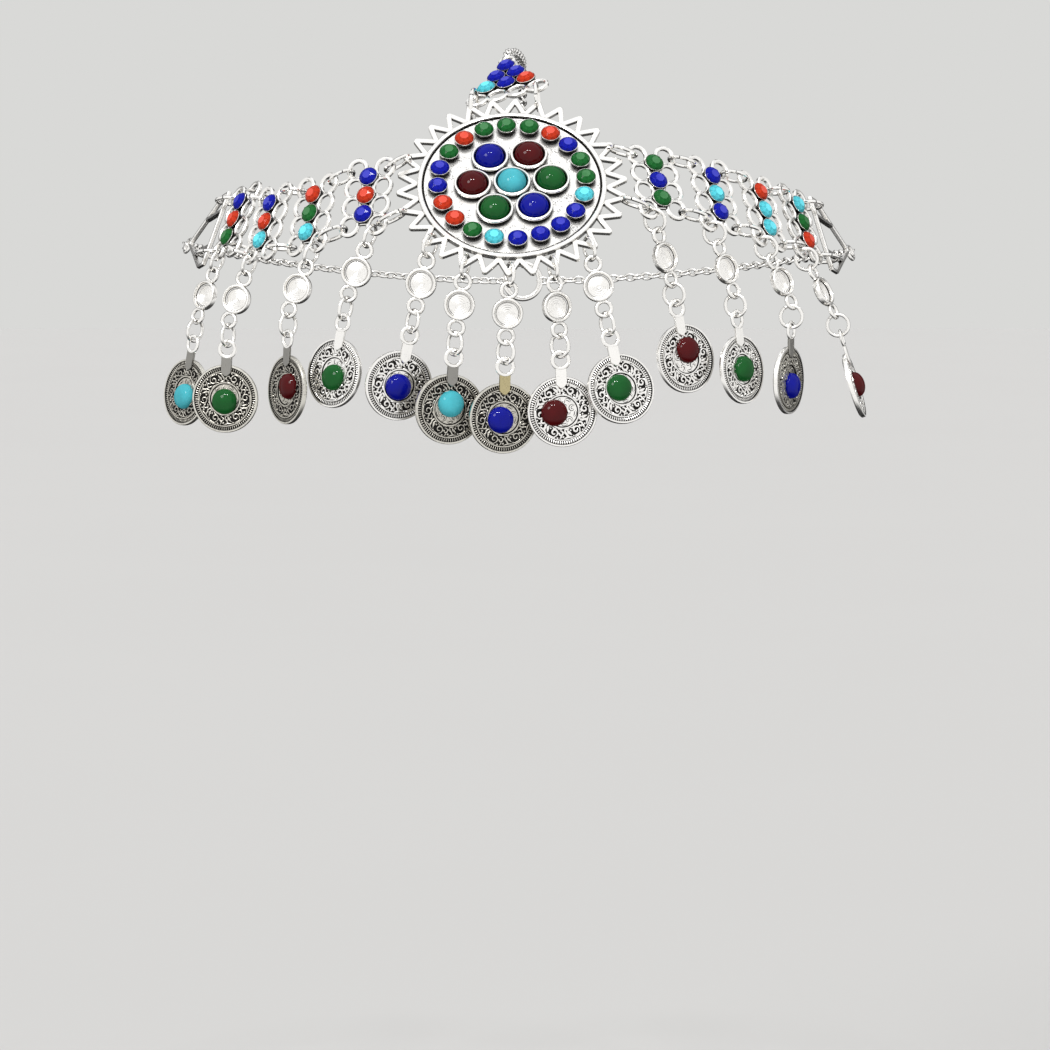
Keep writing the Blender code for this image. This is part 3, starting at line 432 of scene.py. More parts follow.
def floor_material(shade):
    """Matt painted board: an even pale surface with the faintest mottle."""
    made, add, spot = material("matt_painted_board")
    mottle = add("ShaderNodeTexNoise", {"Vector": spot, "Scale": per_metre(BOARD_MOTTLE_MM)})[0]
    pale = [min(1.0, v * 1.02) for v in shade]
    tones = {"Factor": mottle, 6: opaque(shade), 7: opaque(pale)}
    paint = add("ShaderNodeMix", tones, data_type="RGBA")[2]
    add("Principled BSDF", {"Base Color": paint, "Roughness": 0.9, "Specular IOR Level": 0.0})
    return made


@cache
def finishes():
    """All materials by key, made once from the scene's settings."""
    metal = bpy.context.scene.head_chain_metal
    stones = bpy.context.scene.head_chain_stones
    made = {}
    for key, (name, tone, share, *grade) in METALS.items():
        made[key] = plated_metal(name, getattr(metal, tone), metal.dark, metal.recess_reach * share, *grade)
    for letter, tone in STONE_COLOURS.items():
        made["cut_" + letter] = stone_material("faceted_acrylic_" + letter, getattr(stones, tone), True)
        made["dome_" + letter] = stone_material("domed_acrylic_" + letter, getattr(stones, tone), False)
    return made


def moved(x=0.0, y=0.0, z=0.0):
    """A shift."""
    return Matrix.Translation((x, y, z))


def spun(degrees, axis="Z"):
    """A turn about an axis."""
    return Matrix.Rotation(math.radians(degrees), 4, axis)


def polar(radius, degrees, *height):
    """A place by its radius and angle, flat unless it has a height."""
    turn = math.radians(degrees)
    return (radius * math.cos(turn), radius * math.sin(turn), *height)


def circle(radius, height, sides, phase=0.0):
    """Evenly spaced places round local Z."""
    return [polar(radius, phase + 360.0 * step / sides, height) for step in range(sides)]


def outward(heading, lean=0.0):
    """The way out of the head at a heading round it, tipped up by a lean."""
    x, y = polar(math.cos(math.radians(lean)), heading - 90.0)
    return Vector((x, y, math.sin(math.radians(lean))))


def framed(at, *axes):
    """The frame at a place with three axes."""
    return Matrix.Translation(at) @ Matrix(axes).transposed().to_4x4()


def frame_at(at, heading, lean, roll):
    """Local X along the head, Y up the head and Z outward, at a heading round the head."""
    out = outward(heading, lean)
    along = Vector(polar(1.0, heading, 0.0))
    return framed(at, along, out.cross(along), out) @ spun(roll)


def frame_from(at, up, facing):
    """Local Y along up, and Z as near to facing as that allows."""
    y_axis = up.normalized()
    x_axis = y_axis.cross(facing).normalized()
    return framed(at, x_axis, y_axis, x_axis.cross(y_axis))


def link_frame(pose):
    """The frame of a cast link from its row of the table."""
    at = Vector((pose.x, pose.y, pose.z)) * TABLE_UNIT
    if pose is CROWN_POSE:
        return moved(*at) @ spun(-pose.roll, "Y") @ frame_at(CENTRE, pose.heading, pose.lean, CROWN_TWIST)
    return frame_at(at, pose.heading, pose.lean, pose.roll)


MEDALLION = frame_at(MEDALLION_AT, 0.0, MEDALLION_LEAN, MEDALLION_ROLL)
POSES = {pose.name: pose for pose in LINK_POSES}
LINKS = {pose.name: link_frame(pose) for pose in LINK_POSES + (CROWN_POSE,)}


def on_medallion(angle, radius):
    """A place on the medallion at its own angle, anticlockwise from the right."""
    return MEDALLION @ Vector(polar(radius, angle, 0.0))


def side_of(pose):
    """Which side of the head a link lies on: 1 on the viewer's right, else -1."""
    return -1.0 if pose.heading < 0.0 else 1.0


def loop_place(pose, outer, upper, play):
    """Where a ring's wire passes a band link's corner loop: outer and upper are 1 or -1."""
    x = side_of(pose) * outer * (LOOP_GRIP - play)
    return LINKS[pose.name] @ Vector((x, upper * 1.5 * STONE_PITCH, 0.0))


def facing_of(matrix):
    """The way that a frame's Z points."""
    return (matrix.to_3x3() @ Vector((0.0, 0.0, 1.0))).normalized()


def drop_line(drop, degrees):
    """The straight way that a part of a drop hangs."""
    x, z = polar(1.0, degrees - 90.0)
    lean = outward(drop.heading) * math.tan(math.radians(drop.lean))
    return (Vector((x, 0.0, z)) + lean).normalized()


def hook_place(drop):
    """Where the wire of a drop's upper ring passes through what it hangs on."""
    if isinstance(drop.hook, int):
        return on_medallion(drop.hook, TOOTH_HOLE_RADIUS)
    hole_bottom = LOOP_WIRE / 2.0 - 2.0 * STONE_PITCH
    x = drop.side * side_of(POSES[drop.hook]) * HOOK_REACH
    return LINKS[drop.hook] @ Vector((x, hole_bottom + HANG_WIRE_RADIUS + 4.5 * PIECE_GAP, 0.0))


def drop_places(drop):
    """The frames of a drop's upper ring, cup, lower ring and coin."""
    line = drop_line(drop, drop.cup_swing)
    low_line = drop_line(drop, drop.coin_swing)
    inner = HANG_RING_RADIUS - HANG_WIRE_RADIUS
    grip = inner - EYE_WIRE / 2.0 + SOLDER_OVERLAP
    hook = hook_place(drop)
    fall = line
    if isinstance(drop.hook, int):
        axis = facing_of(frame_from(CENTRE, -line, outward(drop.ring)))
        radial = (hook - MEDALLION_AT).normalized()
        fall = (line + HOOK_OUTWARD * (radial - axis * radial.dot(axis))).normalized()
    ring = hook + fall * HANG_RING_RADIUS
    cup = ring + line * (grip + 2.0 * EYE_RADIUS + CUP_RADIUS)
    low_ring = cup + line * (CUP_RADIUS + EYE_RADIUS) + low_line * (EYE_RADIUS + grip)
    bail = low_ring + low_line * (inner - BAIL_WIRE / 2.0 - PIECE_GAP + BAIL_RADIUS)
    coin = frame_from(bail + low_line * (BAIL_ABOVE_EDGE + COIN_RADIUS), -low_line, outward(drop.turn))
    return (
        frame_from(ring, -line, outward(drop.ring)),
        frame_from(cup, -line, outward(drop.heading)),
        frame_from(low_ring, -low_line, outward(drop.low)),
        coin @ moved(0.0, 0.0, -TAB_MIDDLE),
    )


def ring_facing(one, other):
    """The way a ring between two links stands out, lower than the links' own lean."""
    flat = facing_of(one) + facing_of(other)
    flat.z = 0.0
    return flat.normalized() + Vector((0.0, 0.0, math.tan(math.radians(RING_LEAN))))


class Bench:
    """Gathers the shapes of one piece, each face with its finish."""

    def __init__(self):
        self.bm = bmesh.new()
        self.slots = []

    def slot(self, finish):
        """The number of a finish on this piece."""
        if finish not in self.slots:
            self.slots.append(finish)
        return self.slots.index(finish)

    def face(self, corners, finish):
        """One face."""
        made = self.bm.faces.new(corners)
        made.material_index = self.slot(finish)
        made.smooth = True

    def row(self, points, place=HERE):
        """New corners at points of a frame."""
        return [self.bm.verts.new(place @ Vector(point)) for point in points]

    def bridge(self, low, high, finish):
        """Faces between two closed rows, either of which may be one point."""
        count = max(len(low), len(high))
        for step in range(count):
            after = (step + 1) % count
            foot = (low[step], low[after]) if len(low) > 1 else (low[0],)
            head = (high[after], high[step]) if len(high) > 1 else (high[0],)
            self.face(foot + head, finish)

    def skin(self, rows, looks, capped=True):
        """Faces from row to row with a finish for each step, the last going on, and over the ends."""
        for index, (low, high) in enumerate(zip(rows, rows[1:])):
            self.bridge(low, high, looks[min(index, len(looks) - 1)])
        for end, look in ((rows[0][::-1], looks[0]), (rows[-1], looks[-1])):
            if capped and len(end) > 1:
                self.face(end, look)

    def turned(self, profile, sides, looks, place=HERE):
        """A shape turned about local Z from radius and height pairs."""
        rows = [circle(radius, height, sides if radius else 1) for radius, height in profile]
        self.skin([self.row(points, place) for points in rows], looks)

    def hoop(self, radius, wire, finish, place=HERE, steps=28, sides=10, flat=1.0):
        """A closed round ring about local Z, its section flattened by a share."""
        rows = []
        for step in range(steps):
            section = [(radius + x, z * flat) for x, z, _ in circle(wire, 0.0, sides)]
            rows.append(self.row([polar(x, 360.0 * step / steps, z) for x, z in section], place))
        self.skin((rows + rows[:1])[::-1], (finish,), False)

    def strip(self, path, half_width, low, high, soft, finish, place=HERE, keep=None, pinch=None):
        """A flat bar with eased edges along a closed flat path, or along part of it.

        A pinch gives the place of the inner edge at the path's sharp turns, where it would cross over.
        """
        inner = half_width - soft
        section = ((half_width, low + soft), (half_width, high - soft), (inner, high), (-inner, high))
        section += ((-half_width, high - soft), (-half_width, low + soft), (-inner, low), (inner, low))
        rows = []
        for index in keep or range(len(path)):
            before, here, after = (Vector(path[(index + step) % len(path)]) for step in (-1, 0, 1))
            way = (here - before).normalized()
            mitre = (way + (after - here).normalized()).normalized()
            normal = Vector((mitre.y, -mitre.x))
            normal /= max(0.25, normal.dot(Vector((way.y, -way.x))))
            points = []
            for reach, height in section:
                spot = here + normal * reach
                if pinch and reach < 0.0:
                    spot = pinch(index, reach, spot)
                points.append((*spot, height))
            rows.append(self.row(points, place))
        self.skin(rows if keep else rows + rows[:1], (finish,), False)

    def bar(self, outline, low, high, soft, finish, place=HERE):
        """A flat bar of an outline, its upper and lower edges eased."""
        centre = sum((Vector(spot) for spot in outline), Vector((0.0, 0.0))) / len(outline)
        rows = []
        for inset, height in ((soft, low), (0.0, low + soft), (0.0, high - soft), (soft, high)):
            ways = [Vector(spot) - centre for spot in outline]
            points = [(*(centre + way * (1.0 - inset / way.length)), height) for way in ways]
            rows.append(self.row(points, place))
        self.skin(rows, (finish,))

    def ridge(self, path, half_width, base, height, finish, edge=None, crest=0.86):
        """A raised stroke with a rounded back, pointed at both ends.

        Its back takes a share of its width, the crest, and its flanks may have an edge finish.
        """
        rows = []
        last = len(path) - 1
        for index in range(last + 1):
            way = (Vector(path[min(last, index + 1)]) - Vector(path[max(0, index - 1)])).normalized()
            normal = Vector((way.y, -way.x))
            share = index / last
            swell = 0.35 + 0.65 * math.sin(math.pi * share) ** 0.5
            points = []
            for reach, lift in ((1.0, 0.0), (crest, 0.84), (0.0, 1.0), (-crest, 0.84), (-1.0, 0.0)):
                spot = Vector(path[index]) + normal * half_width * swell * reach
                points.append((*spot, base + height * lift * swell))
            rows.append(self.row(points))
        for one, other in zip(rows, rows[1:]):
            for step, look in enumerate((edge or finish, finish, finish, edge or finish)):
                self.face((one[step], one[step + 1], other[step + 1], other[step]), look)

    def bead(self, x, y, radius, base, height, finish):
        """A small raised bead on a face."""
        rows = []
        for share, lift, sides in ((1.0, 0.0, 8), (0.66, 0.75, 8), (0.0, 1.0, 1)):
            points = circle(radius * share, base + height * lift, sides)
            rows.append(self.row([(x + off_x, y + off_y, z) for off_x, off_y, z in points]))
        self.skin(rows, (finish,), False)

    def absorb(self, mesh, place=HERE):
        """Adds a mesh at a place with the finishes that it already has, and frees it."""
        mesh.transform(place)
        old_count = len(self.bm.faces)
        names = list(mesh.materials)
        self.bm.from_mesh(mesh)
        for part in list(self.bm.faces)[old_count:]:
            part.material_index = self.slot(names[part.material_index])
        bpy.data.meshes.remove(mesh)

    def repeat(self, part, count, start=0.0):
        """Adds copies of another bench's shape, turned about local Z in equal steps."""
        values = {"Count": count, "Start Angle": start, "Sweep": 2.0 * math.pi}
        self.absorb(grown(round_tree(), part.mesh("part", CAST_EDGE), values))

    def mesh(self, name, sharp):
        """The gathered shapes as one mesh."""
        made = bpy.data.meshes.new(name)
        self.bm.to_mesh(made)
        self.bm.free()
        for finish in self.slots:
            made.materials.append(finish)
        made.set_sharp_from_angle(angle=math.radians(sharp))
        return made

    def show(self, name, sharp, solid=None):
        """The gathered shapes as a finished piece."""
        shown(name, self.mesh(name, sharp), solid)


def shown(name, mesh, solid=None):
    """A finished piece that rides on the jewel and may stand for a solid."""
    piece = bpy.data.objects.new(name, mesh)
    bpy.context.scene.collection.objects.link(piece)
    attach(piece, "root")
    if solid:
        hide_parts(solid)


def tree_with(name, **sockets):
    """An empty geometry tree with named inputs, what adds its nodes, and its way in."""
    tree = bpy.data.node_groups.new(name, "GeometryNodeTree")
    for socket, kind in (("Geometry", "Geometry"), *sockets.items()):
        title = socket.replace("_", " ")
        tree.interface.new_socket(title, in_out="INPUT", socket_type="NodeSocket" + kind)
    tree.interface.new_socket("Geometry", in_out="OUTPUT", socket_type="NodeSocketGeometry")
    add = partial(node, tree)
    return tree, add, add("NodeGroupInput")


@cache
def rings_tree():
    """Split rings of round wire, one on each point, turned and sized by the point."""
    tree, add, given = tree_with(
        "Split rings on points",
        Ring_Radius="Float",
        Wire_Radius="Float",
        Split="Float",
        Steps="Int",
        Sides="Int",
        Material="Material",
    )
    sweep = add("ShaderNodeMath", {0: 2.0 * math.pi, 1: given["Split"]}, operation="SUBTRACT")[0]
    way = {"Resolution": given["Steps"], "Radius": given["Ring Radius"]}
    way.update({"Start Angle": 2.2, "Sweep Angle": sweep})
    curve = add("GeometryNodeCurveArc", way, mode="RADIUS")[0]
    section = {"Resolution": given["Sides"], "Radius": given["Wire Radius"]}
    profile = add("GeometryNodeCurvePrimitiveCircle", section, mode="RADIUS")[0]
    wire = add("GeometryNodeCurveToMesh", {"Curve": curve, "Profile Curve": profile, "Fill Caps": True})[0]
    turn = add("GeometryNodeInputNamedAttribute", {"Name": "turn"}, data_type="QUATERNION")[0]
    size = add("GeometryNodeInputNamedAttribute", {"Name": "size"}, data_type="FLOAT")[0]
    copied = {"Points": given["Geometry"], "Instance": wire, "Rotation": turn, "Scale": size}
    rings = add("GeometryNodeInstanceOnPoints", copied)[0]
    real = add("GeometryNodeRealizeInstances", {"Geometry": rings})[0]
    dressed = add("GeometryNodeSetMaterial", {"Geometry": real, "Material": given["Material"]})[0]
    add("NodeGroupOutput", {"Geometry": dressed})
    return tree


@cache
def stones_tree():
    """One stone on each point, turned by the point and coloured by its number."""
    colours = {"Colour_" + letter: "Material" for letter in STONE_COLOURS}
    tree, add, given = tree_with("Stones in their cups", Stone="Object", **colours)
    stone = add("GeometryNodeObjectInfo", {"Object": given["Stone"]}, transform_space="ORIGINAL")["Geometry"]
    turn = add("GeometryNodeInputNamedAttribute", {"Name": "turn"}, data_type="QUATERNION")[0]
    number = add("GeometryNodeInputNamedAttribute", {"Name": "number"}, data_type="INT")[0]
    copied = {"Points": given["Geometry"], "Instance": stone, "Rotation": turn}
    stones = add("GeometryNodeInstanceOnPoints", copied)[0]
    dressed = add("GeometryNodeRealizeInstances", {"Geometry": stones})[0]
    for index, letter in enumerate(STONE_COLOURS):
        same = add("FunctionNodeCompare", {2: number, 3: index}, data_type="INT", operation="EQUAL")[0]
        look = {"Geometry": dressed, "Selection": same, "Material": given["Colour " + letter]}
        dressed = add("GeometryNodeSetMaterial", look)[0]
    add("NodeGroupOutput", {"Geometry": dressed})
    return tree


@cache
def round_tree():
    """Copies of a shape turned about local Z in equal steps, joined where they meet."""
    sockets = {"Count": "Int", "Start_Angle": "Float", "Sweep": "Float"}
    tree, add, given = tree_with("Shape repeated round a centre", **sockets)
    centre = {"Count": given["Count"], "Start Location": CENTRE, "Offset": CENTRE}
    points = add("GeometryNodeMeshLine", centre, mode="OFFSET")[0]
    index = add("GeometryNodeInputIndex")[0]
    step = add("ShaderNodeMath", {0: given["Sweep"], 1: given["Count"]}, operation="DIVIDE")[0]
    angle = add("ShaderNodeMath", {0: index, 1: step, 2: given["Start Angle"]}, operation="MULTIPLY_ADD")[0]
    turn = add("ShaderNodeCombineXYZ", {"Z": angle})[0]
    copied = {"Points": points, "Instance": given["Geometry"], "Rotation": turn}
    copies = add("GeometryNodeInstanceOnPoints", copied)[0]
    apart = add("GeometryNodeRealizeInstances", {"Geometry": copies})[0]
    met = add("GeometryNodeMergeByDistance", {"Geometry": apart, "Distance": 0.000002})[0]
    real = add("GeometryNodeRealizeInstances", {"Geometry": met})[0]
    add("NodeGroupOutput", {"Geometry": real})
    return tree


@cache
def chain_tree():
    """Oval cable links along a way, each turned a quarter from the one before."""
    tree, add, given = tree_with(
        "Cable chain along a way",
        Link_Length="Float",
        Link_Width="Float",
        Wire="Float",
        Links="Int",
        Material="Material",
    )
    way = add("GeometryNodeMeshToCurve", {"Mesh": given["Geometry"]})[0]
    even = add("GeometryNodeResampleCurve", {"Curve": way, "Count": given["Links"]}, mode="COUNT")[0]
    tangent = add("GeometryNodeInputTangent")[0]
    along = add("FunctionNodeAlignRotationToVector", {"Vector": tangent}, axis="X", pivot_axis="AUTO")[0]
    odd = add("ShaderNodeMath", {0: add("GeometryNodeInputIndex")[0], 1: 2.0}, operation="MODULO")[0]
    quarter = {0: odd, 1: math.pi / 2.0, 2: math.pi / 4.0}
    spin = add("ShaderNodeCombineXYZ", {"X": add("ShaderNodeMath", quarter, operation="MULTIPLY_ADD")[0]})[0]
    turned = {"Rotation": along, "Rotate By": spin}
    turn = add("FunctionNodeRotateRotation", turned, rotation_space="LOCAL")[0]
    ring = add("GeometryNodeCurvePrimitiveCircle", {"Resolution": 16, "Radius": 0.5}, mode="RADIUS")[0]
    size = {"Z": 1.0}
    for axis, measure in (("X", "Link Length"), ("Y", "Link Width")):
        size[axis] = add("ShaderNodeMath", {0: given[measure], 1: given["Wire"]}, operation="SUBTRACT")[0]
    stretched = {"Geometry": ring, "Scale": add("ShaderNodeCombineXYZ", size)[0]}
    oval = add("GeometryNodeTransform", stretched)[0]
    half_wire = add("ShaderNodeMath", {0: given["Wire"], 1: 0.5}, operation="MULTIPLY")[0]
    section = {"Resolution": 7, "Radius": half_wire}
    profile = add("GeometryNodeCurvePrimitiveCircle", section, mode="RADIUS")[0]
    link = add("GeometryNodeCurveToMesh", {"Curve": oval, "Profile Curve": profile})[0]
    links = add("GeometryNodeInstanceOnPoints", {"Points": even, "Instance": link, "Rotation": turn})[0]
    real = add("GeometryNodeRealizeInstances", {"Geometry": links})[0]
    dressed = add("GeometryNodeSetMaterial", {"Geometry": real, "Material": given["Material"]})[0]
    add("NodeGroupOutput", {"Geometry": dressed})
    return tree


def grown(tree, mesh, values):
    """What a tree grows on a mesh, as a plain mesh."""
    holder = bpy.data.objects.new("holder", mesh)
    bpy.context.scene.collection.objects.link(holder)
    growth = holder.modifiers.new("Growth", "NODES")
    growth.node_group = tree
    for item in tree.interface.items_tree:
        if item.in_out == "INPUT" and item.name in values:
            growth[item.identifier] = values[item.name]
    bpy.context.view_layer.update()
    graph = bpy.context.evaluated_depsgraph_get()
    made = bpy.data.meshes.new_from_object(holder.evaluated_get(graph), depsgraph=graph)
    holder.modifiers.remove(growth)
    bpy.data.objects.remove(holder)
    if not made.polygons:
        raise RuntimeError(tree.name + " grew nothing")
    return made


def points_mesh(places, **extra):
    """Points that carry each frame's turn and any more values, given as a kind and a list."""
    mesh = bpy.data.meshes.new("points")
    mesh.from_pydata([place.translation[:] for place in places], [], [])
    turns = [place.to_quaternion()[:] for place in places]
    for name, (kind, values) in {"turn": ("QUATERNION", turns), **extra}.items():
        made = mesh.attributes.new(name, kind, "POINT")
        for entry, value in zip(made.data, values):
            entry.value = value
    return mesh


def rings_mesh(rings, nominal, wire):
    """Split wire rings from frames and radii, drawn at one nominal radius and sized from it."""
    places, radii = zip(*rings)
    values = {
        "Ring Radius": nominal,
        "Wire Radius": wire,
        "Split": 0.05,
        "Steps": 36,
        "Sides": 10,
        "Material": finishes()["wire"],
    }
    points = points_mesh(places, size=("FLOAT", [radius / nominal for radius in radii]))
    made = grown(rings_tree(), points, values)
    made.shade_smooth()
    made.set_sharp_from_angle(angle=math.radians(WIRE_EDGE))
    return made


def joining_rings(ends):
    """Joining rings that each run through two places and stand along a facing."""
    rings = []
    for one, other, facing in ends:
        line = (other - one).normalized()
        axis = line.cross(facing).normalized()
        place = framed((one + other) / 2.0, line, axis.cross(line), axis)
        rings.append((place, (other - one).length / 2.0))
    return rings_mesh(rings, JOIN_RING_RADIUS, JOIN_WIRE_RADIUS)


def stones_mesh(places, letters):
    """Faceted stones in cups at their frames, coloured by letter."""
    seats = [place @ moved(0.0, 0.0, STONE_CUP_HEIGHT - STONE_SINK) for place in places]
    numbers = [list(STONE_COLOURS).index(letter) for letter in letters]
    values = {"Colour " + letter: finishes()["cut_" + letter] for letter in STONE_COLOURS}
    values["Stone"] = faceted_master()
    return grown(stones_tree(), points_mesh(seats, number=("INT", numbers)), values)


@cache
def faceted_master():
    """The faceted stone that is set many times: girdle, two rows of crown facets and a table."""
    bench = Bench()
    foot, girdle, crown, table = (
        bench.row(circle(*sizes))
        for sizes in (
            (STONE_GIRDLE_RADIUS * 0.93, -STONE_FOOT_DEPTH, 16),
            (STONE_GIRDLE_RADIUS, 0.0, 16),
            (STONE_GIRDLE_RADIUS * 0.80, STONE_CROWN_HEIGHT * 0.60, 8),
            (STONE_TABLE_RADIUS, STONE_CROWN_HEIGHT, 8, 22.5),
        )
    )
    bench.bridge(foot, girdle, None)
    for step in range(8):
        after = (step + 1) % 8
        here, middle, there = (girdle[(2 * step + part) % 16] for part in range(3))
        bench.face((here, middle, crown[step]), None)
        bench.face((middle, there, crown[after]), None)
        bench.face((middle, crown[after], crown[step]), None)
        bench.face((crown[step], crown[after], table[step]), None)
        bench.face((crown[after], table[after], table[step]), None)
    bench.face(table, None)
    bench.face(foot[::-1], None)
    mesh = bench.mesh("faceted_stone_pattern", CAST_EDGE)
    mesh.materials.clear()
    mesh.shade_flat()
    # How pale each facet's painted reflection is, in the order that they were made in
    tones = [0.10] * 16 + [0.30, 0.06, 0.48, 0.62, 0.34] * 8 + [0.88] * 2
    facets = mesh.attributes.new("facet", "FLOAT", "FACE")
    for entry, tone in zip(facets.data, tones):
        entry.value = tone
    return bpy.data.objects.new("faceted_stone_pattern", mesh)


def cup_on(bench, place):
    """A small round cup with a thin rolled lip for a faceted stone."""
    reach = STONE_CUP_RADIUS
    top = STONE_CUP_HEIGHT
    profile = (
        (reach * 0.80, -STONE_FOOT_DEPTH),
        (reach * 0.84, 0.0001),
        (reach * 0.97, top * 0.60),
        (reach, top * 0.90),
        (reach * 0.985, top),
        (STONE_GIRDLE_RADIUS * 1.01, top),
        (STONE_GIRDLE_RADIUS * 0.99, top - 0.00025),
        (0.0, top - 0.0003),
    )
    black = finishes()["black"]
    # Painted shadow: the outer walls are black so that only the thin lip shows bright under the stone
    bench.turned(profile, 24, [black] * 3 + [finishes()["silver"]] * 2 + [black], place)


def loop_oval(x, y, along_x=True):
    """The middle line of one open loop, its centre at x and y."""
    half_long = (LOOP_REACH - LOOP_ROOT - LOOP_WIRE) / 2.0
    half_wide = STONE_PITCH / 2.0
    if along_x:
        return [(x + half_long * far, y + half_wide * wide) for far, wide, _ in circle(1.0, 0.0, 28)]
    return [(x + half_wide * wide, y + half_long * far) for far, wide, _ in circle(1.0, 0.0, 28)]


def medallion_metal():
    """Plate, rim, bezels, cups and pierced sunburst in the medallion's own frame."""
    silver, black, plate = (finishes()[key] for key in ("silver", "black", "plate"))
    top = PLATE_THICKNESS / 2.0
    rim_top = top + RIM_HEIGHT
    inner = PLATE_RADIUS - RIM_WIDTH
    profile = (
        (0.0, -top),
        (PLATE_RADIUS - 0.0003, -top),
        (PLATE_RADIUS, -top + 0.0002),
        (PLATE_RADIUS, rim_top - 0.00025),
        (PLATE_RADIUS - 0.00012, rim_top - 0.00008),
        (PLATE_RADIUS - 0.0003, rim_top),
        (inner + 0.0003, rim_top),
        (inner + 0.00010, rim_top - 0.00010),
        (inner, rim_top - 0.0003),
        (inner - 0.00004, top - 0.00012),
        (inner - GROOVE_WIDTH, top - 0.00012),
        (inner - GROOVE_WIDTH - 0.0002, top + 0.0001),
        (inner - GROOVE_WIDTH - 0.0006, top + 0.0001),
        (0.0, top + 0.0001),
    )
    bench = Bench()
    # The inner wall of the rim and its groove take the black finish
    bench.turned(profile, 120, [silver] * 8 + [black] * 2 + [silver, plate])
    tip = Vector((TOOTH_TIP_RADIUS, 0.0))
    low, high = (Vector(polar(TOOTH_VALLEY_RADIUS, side * 180.0 / TEETH)) for side in (-1.0, 1.0))
    blunt = [low.lerp(tip, 0.84), low.lerp(tip, 0.94) * 0.998, tip * 0.990]
    blunt += [high.lerp(tip, 0.94) * 0.998, high.lerp(tip, 0.84)]
    step = Matrix.Rotation(2.0 * math.pi / TEETH, 2)
    zigzag = [step.inverted() @ blunt[-1], low, *blunt, high, step @ blunt[0]]
    half_angle = math.atan2(high.y, tip.x - high.x)

    def pinch(index, reach, spot):
        """The inner edge of a tooth's arms meets in one place under its blunt tip."""
        return tip * (1.0 + reach / math.sin(half_angle) / tip.x) if 2 <= index <= 6 else spot

    tooth = Bench()
    under = -TOOTH_THICKNESS / 2.0 - 0.00005
    over = TOOTH_THICKNESS / 2.0 - 0.0001
    arms = range(1, len(zigzag) - 1)
    tooth.strip(zigzag, TOOTH_WIDTH * 0.61, under, over, 0.00012, silver, keep=arms, pinch=pinch)
    bench.repeat(tooth, TEETH)
    hole = BEZEL_RADIUS - BEZEL_WALL
    lip = top + BEZEL_HEIGHT
    wall = (
        (BEZEL_RADIUS - 0.0003, top),
        (BEZEL_RADIUS - 0.0001, top + BEZEL_HEIGHT * 0.62),
        (BEZEL_RADIUS, lip - 0.0003),
        (BEZEL_RADIUS - 0.00012, lip - 0.00008),
        (BEZEL_RADIUS - 0.0003, lip),
        (hole + 0.00022, lip),
        (hole, lip - 0.0003),
        (hole, top + 0.0003),
        (0.0, top + 0.0003),
    )
    # Painted shade: the lower outer wall of each bezel is black round its foot
    looks = [black] + [silver] * 5 + [black]
    bench.turned(wall, 48, looks)
    outer = Bench()
    outer.turned(wall, 48, looks, moved(BEZEL_PITCH))
    bench.repeat(outer, len(DOME_STONES) - 1)
    cup = Bench()
    cup_on(cup, moved(CHATON_RING_RADIUS, 0.0, top + CHATON_LIFT))
    bench.repeat(cup, CHATON_COUNT)
    return bench.mesh("medallion_metal", CAST_EDGE)


class HEADCHAIN_OT_medallion(bpy.types.Operator):
    """Builds the sunburst medallion with its cups, small stones and joining rings"""

    bl_idname = "headchain.medallion"
    bl_label = "Medallion"

    def execute(self, context):
        bench = Bench()
        bench.absorb(medallion_metal(), MEDALLION)
        ends = []
        for tooth, name, upper in (
            (24, "band_link_right_1", 1.0),
            (-12, "band_link_right_1", -1.0),
            (156, "band_link_left_1", 1.0),
            (192, "band_link_left_1", -1.0),
        ):
            near = on_medallion(tooth, TOOTH_SOLDER_RADIUS)
            far = loop_place(POSES[name], -1.0, upper, TOOTH_RING_PLAY)
            ends.append((near, far, ring_facing(MEDALLION, LINKS[name])))
        crown = LINKS[CROWN_POSE.name]
        for tooth, side in ((108, -1.0), (72, 1.0)):
            near = on_medallion(tooth, TOOTH_SOLDER_RADIUS)
            far = crown @ Vector((side * 1.5 * STONE_PITCH, TOOTH_RING_PLAY - LOOP_GRIP, 0.0))
            ends.append((near, far, facing_of(MEDALLION) + facing_of(crown)))
        bench.absorb(joining_rings(ends))
        bench.show("medallion_metal", CAST_EDGE, "medallion_setting")
        seat = moved(CHATON_RING_RADIUS, 0.0, PLATE_THICKNESS / 2.0 + CHATON_LIFT)
        seats = [MEDALLION @ spun(360.0 * index / CHATON_COUNT) @ seat for index in range(CHATON_COUNT)]
        shown("medallion_faceted_stones", stones_mesh(seats, RING_STONES))
        return {"FINISHED"}


def dome_profile(radius, seat, wall, dome, steps):
    """A domed stone's profile from its foot up."""
    profile = [(radius * 0.97, seat), (radius, seat + wall * 0.4), (radius, seat + wall)]
    for index in range(1, steps):
        across, up = polar(1.0, 90.0 * index / steps)
        profile.append((radius * across, seat + wall + dome * up))
    return profile + [(0.0, seat + wall + dome)]


